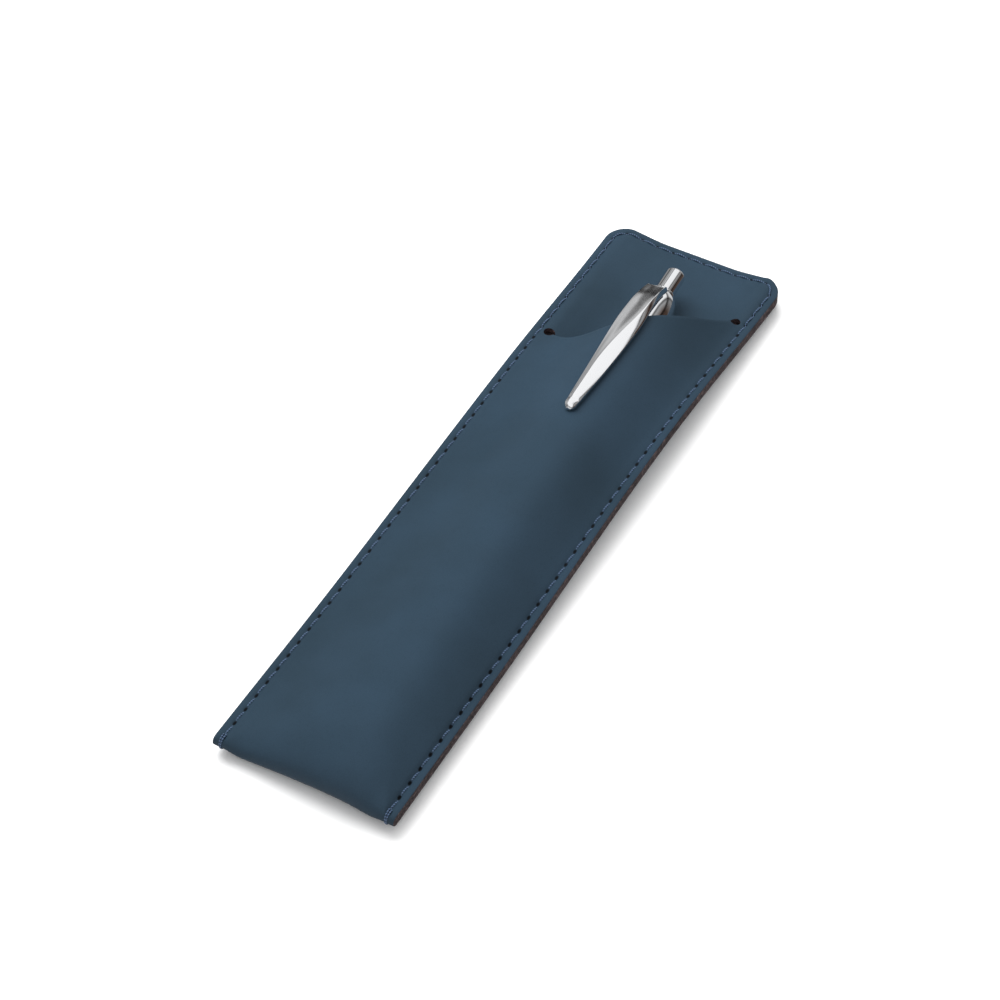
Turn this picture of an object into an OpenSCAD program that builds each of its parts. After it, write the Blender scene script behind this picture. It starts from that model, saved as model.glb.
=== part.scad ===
// Single pen sleeve: one leather strip folded at the bottom and sewn along the sides and top,
// with a slanting slit for a mouth, and the retractable pen that it holds.
// Frame: +Y runs to the top edge, +X to the right of someone facing the slit, +Z up from the table.

/* [Sleeve] */
// Width of the sleeve laid flat, edge to edge
sleeve_w = 40; // [38:1:60]
// Thickness of one layer of leather
leather_t = 1.3; // [0.9:0.1:1.8]
// Outside radius of the two top corners
corner_r = 5; // [3:0.5:9]
// Distance that the pen draws each side edge inwards
side_draw = 1.15; // [0:0.05:2]
// Distance that the bulge draws the middle of the fold inwards
fold_draw = 0.3; // [0:0.1:2]
// Space between the two layers where they are sewn together
ply_gap = 0.06; // [0.04:0.01:0.2]
// Height inside the pocket beside the fold, in the middle
fold_rise = 4.6; // [3.8:0.1:7]

/* [Lie] */
// Height of the sewn layers' meeting plane at both ends of the sleeve
seam_low = 2.7; // [2:0.1:4]
// Extra height of that plane beside the thickest part of the pen
seam_lift = 2.1; // [0:0.1:3]
// Distance from the top edge to the place where the sides stand highest
seam_peak = 53; // [40:1:80]
// Height that the middle of the top edge curls up from the table
top_curl = 0.4; // [0.4:0.1:1.5]
// Share of the half width that lies flat on the table beside the mouth
flat_share = 0.4; // [0.2:0.01:0.5]
// Share of the half width that lies flat on the table beside the fold
fold_flat = 0.75; // [0.4:0.01:0.8]
// Distance that the front layer's crown leans to the right of the pen at the mouth
crown_lean = 1.2; // [0:0.1:1.6]

/* [Mouth] */
// Distance from the top edge to the left end of the slit
slit_left = 38.3; // [30:0.1:50]
// Distance from the top edge to the right end of the slit
slit_right = 16.2; // [12:0.1:28]
// Distance that the slit dips towards the fold, below a straight line
slit_dip = 7.8; // [0:0.1:12]
// Width of the slit
slit_w = 0.4; // [0.3:0.1:0.8]
// Diameter of the round relief hole at each end of the slit
relief_d = 2.4; // [1.5:0.1:3]
// Distance from the stitch line to the centre of each relief hole
relief_from_seam = 2.3; // [1.9:0.1:4]

/* [Stitching] */
// Distance from the edge of the leather to the stitch line
stitch_inset = 1.6; // [1.6:0.1:3]
// Distance between needle holes
stitch_pitch = 3.65; // [2.8:0.05:5]
// Thickness of the sewing thread
thread_d = 0.55; // [0.4:0.05:0.6]
// Distance that each stitch slants off the line at its ends
stitch_slant = 0.14; // [0:0.02:0.3]

/* [Pen in the sleeve] */
// Distance from the top edge of the sleeve to the end of the push button
pen_from_top = 12.3; // [8:0.1:20]
// Distance of the push button's end to the right of the sleeve's middle
pen_side = 0.42; // [-3:0.01:3]
// Angle that the pen rises towards the button
pen_tilt = 1.3; // [0.9:0.05:1.4]
// Angle that the pen turns, nose towards the right seam
pen_yaw = 2.5; // [-1:0.1:2.8]
// Distance from the fold's outside to the pen's nose
below_pen = 8.7; // [8:0.1:30]
// Space left between the pen and the leather around it
pen_room = 0.34; // [0.25:0.01:0.6]

/* [Pen barrel] */
// Length of the pen, nose to push button
pen_len = 138; // [134:0.5:139]
// Largest diameter of the barrel
barrel_d = 9.4; // [9:0.1:10.4]
// Distance from the nose to the largest diameter
barrel_fat_at = 90; // [75:1:105]
// Distance that the barrel's side bows over 100 mm from the largest diameter
barrel_bow = 2.4; // [1:0.1:2.6]
// Length of the nose cone
nose_len = 13; // [12:0.5:18]
// Diameter of the nose cone's end
nose_d = 2.5; // [2.3:0.1:3]
// Diameter of the hole that the writing tip comes out of
nose_hole_d = 1.4; // [1.35:0.05:1.6]
// Distance from the nose to the trim ring
ring_at = 66; // [60:1:72]
// Length of the trim ring
ring_len = 1.8; // [1:0.1:4]
// Height that the trim ring stands above the barrel
ring_proud = 0.12; // [0.05:0.01:0.15]
// Length of the rounded shoulder at the top of the barrel
shoulder_len = 6; // [4:0.1:7]
// Diameter of the barrel's open top
shoulder_d = 6; // [5.9:0.1:6.4]
// Diameter of the bore of both barrel halves
barrel_bore_d = 6.2; // [6:0.05:6.4]

/* [Push button] */
// Diameter of the push button
button_d = 4.3; // [4:0.1:4.4]
// Length of the push button that shows above the collar
button_out = 7.2; // [6:0.1:9]
// Distance that the push button travels
button_travel = 4; // [2:0.1:4]
// Diameter of the collar that guides the push button
collar_d = 5.7; // [5.4:0.1:5.9]
// Height of the collar above the barrel
collar_h = 1.1; // [0.8:0.1:1.6]
// Radial space between pieces that slide in each other
slide_gap = 0.05; // [0.02:0.01:0.08]

/* [Clip] */
// Length of the clip
clip_len = 40.5; // [36:0.5:44]
// Distance from the end of the push button down to the top of the clip
clip_from_top = 10.2; // [10:0.1:12]
// Width of the clip at its widest
clip_w = 5.5; // [4:0.1:6.5]
// Width of the clip at its root
clip_root_w = 4.2; // [4:0.1:5.5]
// Width of the clip at its tip
clip_tip_w = 2.2; // [1.6:0.1:3]
// Distance that the clip's tip is bent to one side
clip_bend = 0.8; // [0:0.1:1]
// Thickness of the clip at its edges
clip_edge_t = 1.1; // [0.8:0.1:1.5]
// Extra thickness of the clip at its ridge
clip_ridge_t = 0.8; // [0.3:0.1:1.2]
// Extra height of the clip's arch in the middle
clip_arch = 0.15; // [0:0.05:0.5]
// Space between the clip and the leather under it
clip_room = 0.12; // [0.1:0.01:0.5]
// Radius of the round foot that the clip rocks on
clip_foot_r = 0.7; // [0.6:0.05:0.75]

/* [Refill] */
// Diameter of the refill tube
refill_d = 3; // [2.8:0.1:3]
// Bore of the refill tube
ink_d = 2; // [1.6:0.1:2.2]
// Distance that the ball rests inside the nose
tip_back = 0.9; // [0.5:0.1:1.5]
// Diameter of the writing ball
ball_d = 0.7; // [0.5:0.1:1]
// Wire thickness of the return spring
spring_wire = 0.4; // [0.3:0.05:0.45]
// Turns in the return spring
spring_turns = 9; // [7:1:12]

/* [Hidden] */
$fn = 64;

// The sleeve is as long as the pen and the leather beyond both its ends
sleeve_len = pen_from_top + pen_len + below_pen;
half_len = sleeve_len / 2;
half_w = sleeve_w / 2;
// Columns of the leather sheets: outside the slit's ends, and between them
edge_cols = 3;
mouth_cols = 20;
cols = 2 * edge_cols + mouth_cols;
slit_u = 1 - (stitch_inset + relief_from_seam) / half_w;
fold_rows = 5;
pocket_rows = 24;
top_rows = 6;
corner_rows = 4;
back_rows = 14;

// A smooth step from 0 to 1
function ease(t) = let (c = min(1, max(0, t))) c * c * (3 - 2 * c);
// 1 in the middle, falling to 0 at distance 1, level at both ends
function crown(s) = abs(s) >= 1 ? 0 : (1 + cos(180 * s)) / 2;
function unit(v) = v / norm(v);

// Edges of the sheet
// Half width of the sleeve along its length, with the corners cut round
function side_x(y) = half_w - side_draw * sin(90 * min(1, max(0, (half_len - y) / half_len)));
function corner_cut(y) =
    let (d = y - (half_len - corner_r)) d <= 0 ? 0 : corner_r - sqrt(max(0, corner_r * corner_r - d * d));
function edge_x(y) = side_x(y) - corner_cut(y);
function seam_x(y) = side_x(y) - stitch_inset;
function col_u(i) =
    i < edge_cols ? -1 + (1 - slit_u) * i / edge_cols
    : i > cols - edge_cols ? 1 - (1 - slit_u) * (cols - i) / edge_cols
    : -slit_u + 2 * slit_u * (i - edge_cols) / mouth_cols;

// The pen's axis, and the space that it needs
mouth_u = pen_side / half_w;
slit_left_y = half_len - slit_left;
slit_right_y = half_len - slit_right;
function slit_y(u) =
    let (f = min(1, max(0, (u + slit_u) / (2 * slit_u))))
    slit_left_y + (slit_right_y - slit_left_y) * f - slit_dip * 4 * f * (1 - f);
mouth_y = slit_y(mouth_u);
pen_top_y = half_len - pen_from_top;
// Over the mouth the fattest part of the barrel just clears two layers of leather
pen_top_z = 2 * leather_t + ply_gap + barrel_d / 2 + pen_room + (pen_top_y - mouth_y) * tan(pen_tilt);
function axis_x(y) = pen_side + (pen_top_y - y) * tan(pen_yaw);
function axis_z(y) = pen_top_z - (pen_top_y - y) * tan(pen_tilt) / cos(pen_yaw);
function barrel_r(q) = barrel_d / 2 - barrel_bow * pow((q - barrel_fat_at) / 100, 2);
function q_at(y) = pen_len - (pen_top_y - y) / (cos(pen_tilt) * cos(pen_yaw));
function pen_r(q) = q < nose_len ? nose_side(q / nose_len) : barrel_r(q);
function nose_side(f) = nose_d / 2 + (barrel_r(nose_len) - nose_d / 2) * pow(f, 0.62);
// Largest radius that passes a place while the pen is drawn out, with the nose cone taken as barrel
function passing_r(y) = barrel_r(min(barrel_fat_at, q_at(y)));

// Heights of the leather, all on the face that meets the other layer
function seam_z(y) =
    let (peak = half_len - seam_peak, d = y - peak, run = d > 0 ? seam_peak : half_len)
    seam_low + seam_lift * pow(cos(90 * min(1, abs(d) / run)), 2);
function back_z(x, y) =
    let (s = abs(x) / seam_x(y), rest = leather_t + top_curl * ease((y - slit_left_y) / slit_left),
        flat = fold_flat + (flat_share - fold_flat) * ease((y - fold_start) / flat_run))
    rest + (seam_z(y) - rest) * ease((s - flat) / (1 - flat));
fold_run = 7;
flat_run = 45;
fold_start = -half_len + fold_draw + leather_t + fold_rise / 2;
function crown_z(y) = axis_z(y) + passing_r(y) + pen_room;
// Section of the pocket's front, for a given height of its crown
function front_z(x, y, top) =
    let (open = ease((y - fold_start) / (slit_left_y - fold_start)), c = axis_x(y) + crown_lean * open,
        reach = x > c ? seam_x(y) - c : seam_x(y) + c, bend = x > c ? 0.55 + 0.3 * open : 0.7 + 0.7 * open)
    max(back_z(x, y) + ply_gap, seam_z(y) + ply_gap
        + (top - seam_z(y) - ply_gap) * pow(crown((x - c) / reach), bend));
function pocket_z(x, y) = front_z(x, y, crown_z(y));
// Above the slit the front layer lies on the back one, and it leaves the pocket's height at the slit's ends
function upper_z(x, y) =
    let (s = abs(x) / seam_x(y), rise = pocket_z(x, y) - back_z(x, y) - ply_gap)
    back_z(x, y) + ply_gap + rise * ease((s - slit_u) / (1 - slit_u));

// Vertical thickness of a sloping layer
step = 0.5;
function slope(fx, fy) = sqrt(1 + fx * fx + fy * fy);
function back_thick(x, y) = leather_t * slope(
    (back_z(x + step, y) - back_z(x - step, y)) / (2 * step),
    (back_z(x, y + step) - back_z(x, y - step)) / (2 * step));
function pocket_thick(x, y) = leather_t * slope(
    (pocket_z(x + step, y) - pocket_z(x - step, y)) / (2 * step),
    (pocket_z(x, y + step) - pocket_z(x, y - step)) / (2 * step));
function upper_thick(x, y) = leather_t * slope(
    (upper_z(x + step, y) - upper_z(x - step, y)) / (2 * step), 0);

// The fold: the back rolls up to the middle plane over a short curve, and the front goes on from
// there to the pocket's height over a long one
roll_run = 14.7;
roll_power = 2.5;
function fold_top(x) = front_z(x, fold_start, leather_t + fold_rise);
function fold_half(x) = (fold_top(x) - back_z(x, fold_start)) / 2;
function fold_mid(x) = (fold_top(x) + back_z(x, fold_start)) / 2;
function fold_end(x) = -half_len + fold_draw * max(0, 1 - pow(x / seam_x(-half_len), 2));
function fold_y(x) = fold_end(x) + leather_t + fold_half(x);
// Share of its full height that the front has at a distance from the fold's end; t is 0 inside
function rolled(x, y, t) =
    let (d = y - fold_end(x) - leather_t + t, run = t + roll_run * 2 * fold_half(x) / fold_rise)
    pow(1 - pow(1 - min(1, max(0, d / run)), roll_power), 1 / roll_power);
function front_face(x, y, t) =
    let (mid = fold_mid(x), thick = t > 0 ? pocket_thick(x, y) : 0)
    mid + (pocket_z(x, y) + thick - mid) * rolled(x, y, t);
function fold_point(u, turn, side, t) =
    let (x = u * edge_x(-half_len), a = fold_half(x) + t, y = fold_y(x) - a * cos(turn))
    [x, y, side > 0 ? front_face(x, y, t) : fold_mid(x) - a * sin(turn)];

// Rows of the sheets, each a list of points from left to right; t is 0 on the inner face
function fold_row(j, side, t) =
    [for (i = [0:cols]) fold_point(col_u(i), 90 * j / fold_rows, side, t)];
function pocket_row(j, outer) =
    [for (i = [0:cols])
        let (u = col_u(i), y0 = fold_y(u * edge_x(-half_len)), y1 = slit_y(u) - slit_w / 2,
            y = y0 + (y1 - y0) * pow(j / pocket_rows, 1.25), x = u * edge_x(y))
        [x, y, front_face(x, y, outer * leather_t)]];
function upper_row(j, outer) =
    [for (i = [0:cols])
        let (u = col_u(i), y0 = slit_y(u) + (abs(u) < slit_u - 0.001 ? slit_w / 2 : -slit_w / 2),
            y1 = half_len - corner_r,
            y = j <= top_rows ? y0 + (y1 - y0) * j / top_rows
                : y1 + corner_r * sin(90 * (j - top_rows) / corner_rows),
            x = u * edge_x(y))
        [x, y, upper_z(x, y) + outer * upper_thick(x, y)]];
function back_row(j, outer) =
    [for (i = [0:cols])
        let (u = col_u(i), y0 = fold_y(u * edge_x(-half_len)), y1 = half_len - corner_r,
            y = j <= back_rows ? y0 + (y1 - y0) * j / back_rows
                : y1 + corner_r * sin(90 * (j - back_rows) / corner_rows),
            x = u * edge_x(y), end = ease((y - y0) / fold_run))
        [x, y, back_z(x, y + (fold_start - y0) * (1 - end))
            - outer * (leather_t + (back_thick(x, y) - leather_t) * end)]];

// Triangles over a strip of the sheet between two rows, given as index lists
function strip(a, b, from, to, flip) =
    [for (i = [from:to - 1]) each flip
        ? [[a[i], b[i + 1], a[i + 1]], [a[i], b[i], b[i + 1]]]
        : [[a[i], a[i + 1], b[i + 1]], [a[i], b[i + 1], b[i]]]];
function indices(row) = [for (i = [0:cols]) row * (cols + 1) + i];
// The same, with the columns outside the slit taken from another row
function shared(row, other) =
    [for (i = [0:cols]) (i <= edge_cols || i >= cols - edge_cols ? other : row) * (cols + 1) + i];
function flat_list(rows) = [for (r = rows) each r];

module front_panel() {
    lower = fold_rows + pocket_rows;
    upper = top_rows + corner_rows;
    outer = concat([for (j = [0:fold_rows - 1]) fold_row(j, 1, leather_t)],
        [for (j = [0:pocket_rows]) pocket_row(j, 1)], [for (j = [0:upper]) upper_row(j, 1)]);
    inner = concat([for (j = [0:fold_rows - 1]) fold_row(j, 1, 0)],
        [for (j = [0:pocket_rows]) pocket_row(j, 0)], [for (j = [0:upper]) upper_row(j, 0)]);
    n = len(outer);
    rows = [for (j = [0:n - 1]) j == lower + 1 ? shared(j, lower) : indices(j)];
    under = [for (j = [0:n - 1]) j == lower + 1 ? shared(j + n, lower + n) : indices(j + n)];
    faces = concat(
        flat_list([for (j = [0:n - 2]) if (j != lower) strip(rows[j], rows[j + 1], 0, cols, true)]),
        flat_list([for (j = [0:n - 2]) if (j != lower) strip(under[j], under[j + 1], 0, cols, false)]),
        strip(rows[0], under[0], 0, cols, false),
        strip(rows[n - 1], under[n - 1], 0, cols, true),
        strip(rows[lower], under[lower], edge_cols, cols - edge_cols, true),
        strip(rows[lower + 1], under[lower + 1], edge_cols, cols - edge_cols, false),
        flat_list([for (j = [0:n - 2]) if (j != lower) [
            [rows[j][0], under[j + 1][0], rows[j + 1][0]], [rows[j][0], under[j][0], under[j + 1][0]],
            [rows[j][cols], rows[j + 1][cols], under[j + 1][cols]],
            [rows[j][cols], under[j + 1][cols], under[j][cols]]]]));
    color("#3c4f5f") difference() {
        polyhedron(concat(flat_list(outer), flat_list(inner)), faces, convexity = 8);
        relief_hole(-1);
        relief_hole(1);
    }
}

// A round hole through the front layer at one end of the slit
module relief_hole(side) {
    y = slit_y(side * slit_u);
    x = side * slit_u * edge_x(y);
    depth = 3 * leather_t;
    translate([x, y, upper_z(x, y) - ply_gap / 4]) cylinder(d = relief_d, h = depth);
}

module back_panel() {
    outer = concat([for (j = [0:fold_rows - 1]) fold_row(j, -1, leather_t)],
        [for (j = [0:back_rows + corner_rows]) back_row(j, 1)]);
    inner = concat([for (j = [0:fold_rows - 1]) fold_row(j, -1, 0)],
        [for (j = [0:back_rows + corner_rows]) back_row(j, 0)]);
    n = len(outer);
    rows = [for (j = [0:n - 1]) indices(j)];
    under = [for (j = [0:n - 1]) indices(j + n)];
    color("#394b5b") polyhedron(concat(flat_list(outer), flat_list(inner)), concat(
        flat_list([for (j = [0:n - 2]) strip(rows[j], rows[j + 1], 0, cols, false)]),
        flat_list([for (j = [0:n - 2]) strip(under[j], under[j + 1], 0, cols, true)]),
        strip(rows[0], under[0], 0, cols, true),
        strip(rows[n - 1], under[n - 1], 0, cols, false),
        flat_list([for (j = [0:n - 2]) [
            [rows[j][0], rows[j + 1][0], under[j + 1][0]], [rows[j][0], under[j + 1][0], under[j][0]],
            [rows[j][cols], under[j + 1][cols], rows[j + 1][cols]],
            [rows[j][cols], under[j][cols], under[j + 1][cols]]]])), convexity = 8);
}

// The stitch line, from the left end of the fold round the top to the right end
seam_corner_r = corner_r - stitch_inset;
seam_start = -half_len + leather_t;
seam_side = half_len - corner_r - seam_start;
seam_arc = PI / 2 * seam_corner_r;
seam_top = 2 * (half_w - corner_r);
seam_total = 2 * seam_side + 2 * seam_arc + seam_top;
stitches = round(seam_total / stitch_pitch);
function seam_half(s) =
    s <= seam_side ? let (y = seam_start + s) [seam_x(y), y]
    : s <= seam_side + seam_arc
        ? let (a = (s - seam_side) / seam_corner_r * 180 / PI)
            [side_x(half_len - corner_r) - corner_r + seam_corner_r * cos(a),
             half_len - corner_r + seam_corner_r * sin(a)]
    : [half_w - corner_r - (s - seam_side - seam_arc), half_len - stitch_inset];
function seam_xy(s) = s < seam_total / 2
    ? let (p = seam_half(s)) [-p[0], p[1]]
    : seam_half(seam_total - s);

// Points of one thread, four to a stitch: in the hole, out, and back towards the next hole
hole_dip = 0.12;
stitch_bulge = 0.2;
function thread_points(side) =
    [for (k = [0:stitches - 1], f = [0, 0.2, 0.5, 0.8])
        let (s = (k + f) * seam_total / stitches, p = seam_xy(s), q = seam_xy(min(seam_total, s + 0.1)),
            dir = unit(q - p + [0.0001, 0]), across = [-dir[1], dir[0]],
            slant = stitch_slant * (f == 0 ? 0 : (0.5 - f) / 0.3),
            x = p[0] + across[0] * slant, y = p[1] + across[1] * slant,
            top = side > 0 ? pocket_or_upper(x, y) + leather_t : back_z(x, y) - leather_t,
            mid = back_z(x, y) + ply_gap / 2 + side * (thread_d / 2 + 0.05),
            high = top + side * thread_d * (f == 0.5 ? stitch_bulge : hole_dip))
        [x, y, f == 0 ? mid : high]];
function pocket_or_upper(x, y) = y > slit_y(x / edge_x(y)) ? upper_z(x, y) : pocket_z(x, y);

// A four-sided tube along a list of points
function tube_ring(p, i, r) =
    let (last = len(p) - 1, d = unit(p[min(last, i + 1)] - p[max(0, i - 1)]),
        side = unit(cross(d, [0, 0, 1])), up = cross(side, d))
    [p[i] + r * side, p[i] + r * up, p[i] - r * side, p[i] - r * up];
module tube(p, r) {
    n = len(p);
    rings = [for (i = [0:n - 1]) each tube_ring(p, i, r)];
    walls = [for (i = [0:n - 2], k = [0:3])
        let (a = 4 * i + k, b = 4 * i + (k + 1) % 4) each [[a, b, b + 4], [a, b + 4, a + 4]]];
    last = 4 * (n - 1);
    polyhedron(rings, concat(walls, [[0, 3, 2], [0, 2, 1]],
        [[last, last + 1, last + 2], [last, last + 2, last + 3]]), convexity = 10);
}
module needle_thread() {
    color("#5b6f8c") tube(thread_points(1), thread_d / 2);
}
module bobbin_thread() {
    color("#566a86") tube(thread_points(-1), thread_d / 2);
}

// Pen pieces are built along their own axis, with the nose at 0 and the clip on the -y side
module in_pen() {
    dir = [-sin(pen_yaw) * cos(pen_tilt), cos(pen_yaw) * cos(pen_tilt), sin(pen_tilt)];
    nose = [pen_side, pen_top_y, pen_top_z] - pen_len * dir;
    translate(nose) rotate([pen_tilt - 90, 0, pen_yaw]) children();
}
// A turned piece: outline points [radius, distance from the nose]
module turned(outline) {
    rotate_extrude() polygon(outline);
}

barrel_bore_r = barrel_bore_d / 2;
button_r = button_d / 2;
collar_bore_r = button_r + slide_gap;
barrel_top = pen_len - button_out - collar_h;
shoulder_from = barrel_top - shoulder_len;
shoulder_r = shoulder_d / 2;
neck_r = collar_bore_r + 0.45;
neck_len = 3;
barrel_steps = 12;
function barrel_side(from, to) =
    [for (k = [0:barrel_steps]) let (q = from + (to - from) * k / barrel_steps) [barrel_r(q), q]];

// Nose cone, bored for the spring and for the writing tip
spring_bore_r = 2;
spring_seat = 5;
tip_land = 2.2;
module nose_cone() {
    nose_r = nose_d / 2;
    nose_steps = 8;
    spigot_len = 5;
    color("#d4d6d8") in_pen() turned(concat(
        [[nose_hole_d / 2, 0], [nose_r - 0.2, 0], [nose_r, 0.2]],
        [for (k = [1:nose_steps]) let (f = k / nose_steps) [nose_side(f), 0.2 + (nose_len - 0.2) * f]],
        [[coupling_r, nose_len], [coupling_r, nose_len + spigot_len], [spring_bore_r, nose_len + spigot_len],
         [spring_bore_r, spring_seat], [spring_seat_r, spring_seat], [nose_hole_d / 2, tip_land]]));
}
spring_seat_r = 1.35;
coupling_r = 2.6;
nose_socket_len = 5.2;

module lower_barrel() {
    color("#cfd1d3") in_pen() turned(concat(
        barrel_side(nose_len, ring_at),
        [[barrel_bore_r, ring_at], [barrel_bore_r, ring_at - coupler_len / 2],
         [spring_bore_r + 0.6 + slide_gap, ring_at - coupler_len / 2 - 1],
         [coupling_r + slide_gap / 2, nose_len + nose_socket_len], [coupling_r + slide_gap / 2, nose_len]]));
}
// Threaded sleeve that joins the two barrel halves, drawn without its thread
coupler_len = 18;
coupler_bore_r = 2.4;
module barrel_coupler() {
    from = ring_at - coupler_len / 2 + 0.2;
    color("#b9a36b") in_pen() turned([[coupler_bore_r, from], [barrel_bore_r - slide_gap / 2, from],
        [barrel_bore_r - slide_gap / 2, from + coupler_len - 0.4], [coupler_bore_r, from + coupler_len - 0.4]]);
}
module trim_ring() {
    r = barrel_r(ring_at) + ring_proud;
    edge = 0.2;
    color("#e2e3e4") in_pen() turned([[barrel_bore_r, ring_at], [r - edge, ring_at], [r, ring_at + edge],
        [r, ring_at + ring_len - edge], [r - edge, ring_at + ring_len], [barrel_bore_r, ring_at + ring_len]]);
}
// The barrel's outline over the shoulder
function shoulder_side(q) =
    let (a = asin(min(1, max(0, (q - shoulder_from) / shoulder_len))))
    shoulder_r + (barrel_r(shoulder_from) - shoulder_r) * cos(a);
// Place of the clip's foot, in a groove across the shoulder
clip_top = pen_len - clip_from_top;
foot_back = 0.9;
foot_q = clip_top - foot_back;
foot_h = shoulder_side(foot_q);
foot_w = 3;
module upper_barrel() {
    from = ring_at + ring_len;
    neck_from = barrel_top - neck_len;
    shoulder_steps = 8;
    color("#cfd1d3") in_pen() difference() {
        turned(concat(barrel_side(from, shoulder_from),
            [for (k = [1:shoulder_steps]) let (q = shoulder_from + shoulder_len * sin(90 * k / shoulder_steps))
                [shoulder_side(q), q]],
            [[neck_r + slide_gap / 2, barrel_top], [neck_r + slide_gap / 2, neck_from],
             [barrel_bore_r, neck_from - 0.5], [barrel_bore_r, from]]));
        translate([-foot_w / 2 - slide_gap, -foot_h, foot_q]) rotate([0, 90, 0])
            cylinder(r = clip_foot_r + slide_gap, h = foot_w + 2 * slide_gap);
    }
}
module top_collar() {
    edge = 0.25;
    r = collar_d / 2;
    color("#dcdddf") in_pen() turned([[collar_bore_r, barrel_top - neck_len + 0.1],
        [neck_r, barrel_top - neck_len + 0.1], [neck_r, barrel_top], [r, barrel_top],
        [r, barrel_top + collar_h - edge], [r - edge, barrel_top + collar_h], [collar_bore_r, barrel_top + collar_h]]);
}

// Clip: a bar that arches off the saddle, with two facets that cross over along its length
clip_rings = 26;
clip_over = barrel_d / 2 + pen_room + leather_t + clip_room;
clip_rise = clip_over - foot_h - slide_gap;
// Half width along the clip, from its root at 0 to its tip at 1
function clip_half(f) =
    let (body = clip_root_w / 2 + (clip_w - clip_root_w) / 2 * ease(f / 0.4),
        taper = (clip_w - clip_tip_w) / 2 * pow(max(0, (f - 0.3) / 0.7), 1.35),
        nose = f < 0.96 ? 0 : (clip_tip_w / 2) * (1 - sqrt(max(0.12, 1 - pow((f - 0.96) / 0.04, 2)))))
    body - taper - nose;
// Height of the clip's underside above the pen's axis: low at the root, then clear of the leather
function clip_under(f) =
    clip_over + clip_arch * sin(180 * min(1, f)) - clip_rise * pow(max(0, 1 - f / 0.2), 1.6);
function clip_section(f) =
    let (w = clip_half(f), h = clip_under(f), cross = w * (0.78 - 1.3 * ease((f - 0.05) / 0.75)),
        end = f > 0.9 ? sqrt(max(0.2, 1 - pow((f - 0.9) / 0.1, 2))) : 1,
        t = clip_edge_t * end, ridge = clip_ridge_t * end * (1 - 0.35 * f))
    [[-w * 0.82, h], [w * 0.82, h], [w, h + t * 0.55], [w * 0.96, h + t],
     [cross + 0.12, h + t + ridge], [cross - 0.12, h + t + ridge * 0.62], [-w * 0.96, h + t], [-w, h + t * 0.55]];
module clip() {
    n = 8;
    points = [for (k = [0:clip_rings]) let (f = k / clip_rings)
        each [for (c = clip_section(f)) [c[0] + clip_bend * (0.25 - pow(f, 3)), -c[1], clip_top - clip_len * f]]];
    walls = [for (k = [0:clip_rings - 1], i = [0:n - 1])
        let (a = n * k + i, b = n * k + (i + 1) % n) each [[a, b + n, b], [a, a + n, b + n]]];
    last = n * clip_rings;
    caps = concat([for (i = [1:n - 2]) [0, i, i + 1]], [for (i = [1:n - 2]) [last, last + i + 1, last + i]]);
    color("#dadcde") in_pen() {
        polyhedron(points, concat(walls, caps), convexity = 4);
        translate([-foot_w / 2, -foot_h, foot_q]) rotate([0, 90, 0]) cylinder(r = clip_foot_r, h = foot_w);
    }
}

// Push button, with the toothed plunger that it drives
button_tail = 5.5;
module push_button() {
    dome = 0.5;
    dome_steps = 5;
    edge_r = 0.5;
    top = pen_len;
    color("#e0e1e3") in_pen() turned(concat([[0, barrel_top - button_tail], [button_r, barrel_top - button_tail],
        [button_r, top - dome - edge_r]],
        [for (k = [1:dome_steps]) let (a = 90 * k / dome_steps)
            [button_r - edge_r + edge_r * cos(a), top - dome - edge_r + edge_r * sin(a)]],
        [[button_r * 0.55, top - dome * 0.25], [0, top]]));
}
cam_bore_r = button_r + 2 * slide_gap;
cam_below = 22;
cam_from = barrel_top - cam_below;
cam_len = 16;
teeth = 4;
tooth_w = 1.1;
module cam_sleeve() {
    color("#e8e6df") in_pen() difference() {
        turned([[cam_bore_r, cam_from], [barrel_bore_r - slide_gap, cam_from],
            [barrel_bore_r - slide_gap, cam_from + cam_len], [cam_bore_r, cam_from + cam_len]]);
        // Guide slots for the plunger's keys
        for (k = [0:teeth - 1]) rotate([0, 0, 45 + 360 / teeth * k])
            translate([0, -tooth_w / 2 - slide_gap, cam_from - 1])
                cube([cam_bore_r + 0.4, tooth_w + 2 * slide_gap, cam_len - 2]);
    }
}
plunger_len = 9;
rotor_len = 6.5;
plunger_from = barrel_top - button_tail - plunger_len;
rotor_from = plunger_from - rotor_len - 0.1;
key_len = 3;
module cam_plunger() {
    core_r = button_r - 0.15;
    notch = 0.8;
    color("#d8d4c8") in_pen() difference() {
        union() {
            turned([[0, plunger_from], [core_r, plunger_from], [core_r, barrel_top - button_tail],
                [0, barrel_top - button_tail]]);
            for (k = [0:teeth - 1]) rotate([0, 0, 45 + 360 / teeth * k])
                translate([0, -tooth_w / 2, plunger_from]) cube([cam_bore_r + 0.25, tooth_w, key_len]);
        }
        // Cam teeth in the plunger's lower end
        for (k = [0:teeth - 1]) rotate([0, 0, 360 / teeth * k])
            translate([0, -tooth_w / 2, plunger_from - 1]) cube([barrel_bore_r, tooth_w, 1 + notch]);
    }
}
socket_len = 3;
module index_rotor() {
    core_r = button_r - 0.15;
    rib = 0.3;
    color("#dcd9cf") in_pen() difference() {
        union() {
            turned([[0, rotor_from], [core_r, rotor_from], [core_r, rotor_from + rotor_len - 0.3],
                [core_r - 0.3, rotor_from + rotor_len], [0, rotor_from + rotor_len]]);
            for (k = [0:teeth - 1]) rotate([0, 0, 45 + 360 / teeth * k])
                translate([0, -tooth_w / 2, rotor_from + 1]) cube([core_r + rib, tooth_w, key_len]);
        }
        translate([0, 0, rotor_from - 1]) cylinder(d = refill_d + 2 * slide_gap, h = 1 + socket_len);
    }
}

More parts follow.
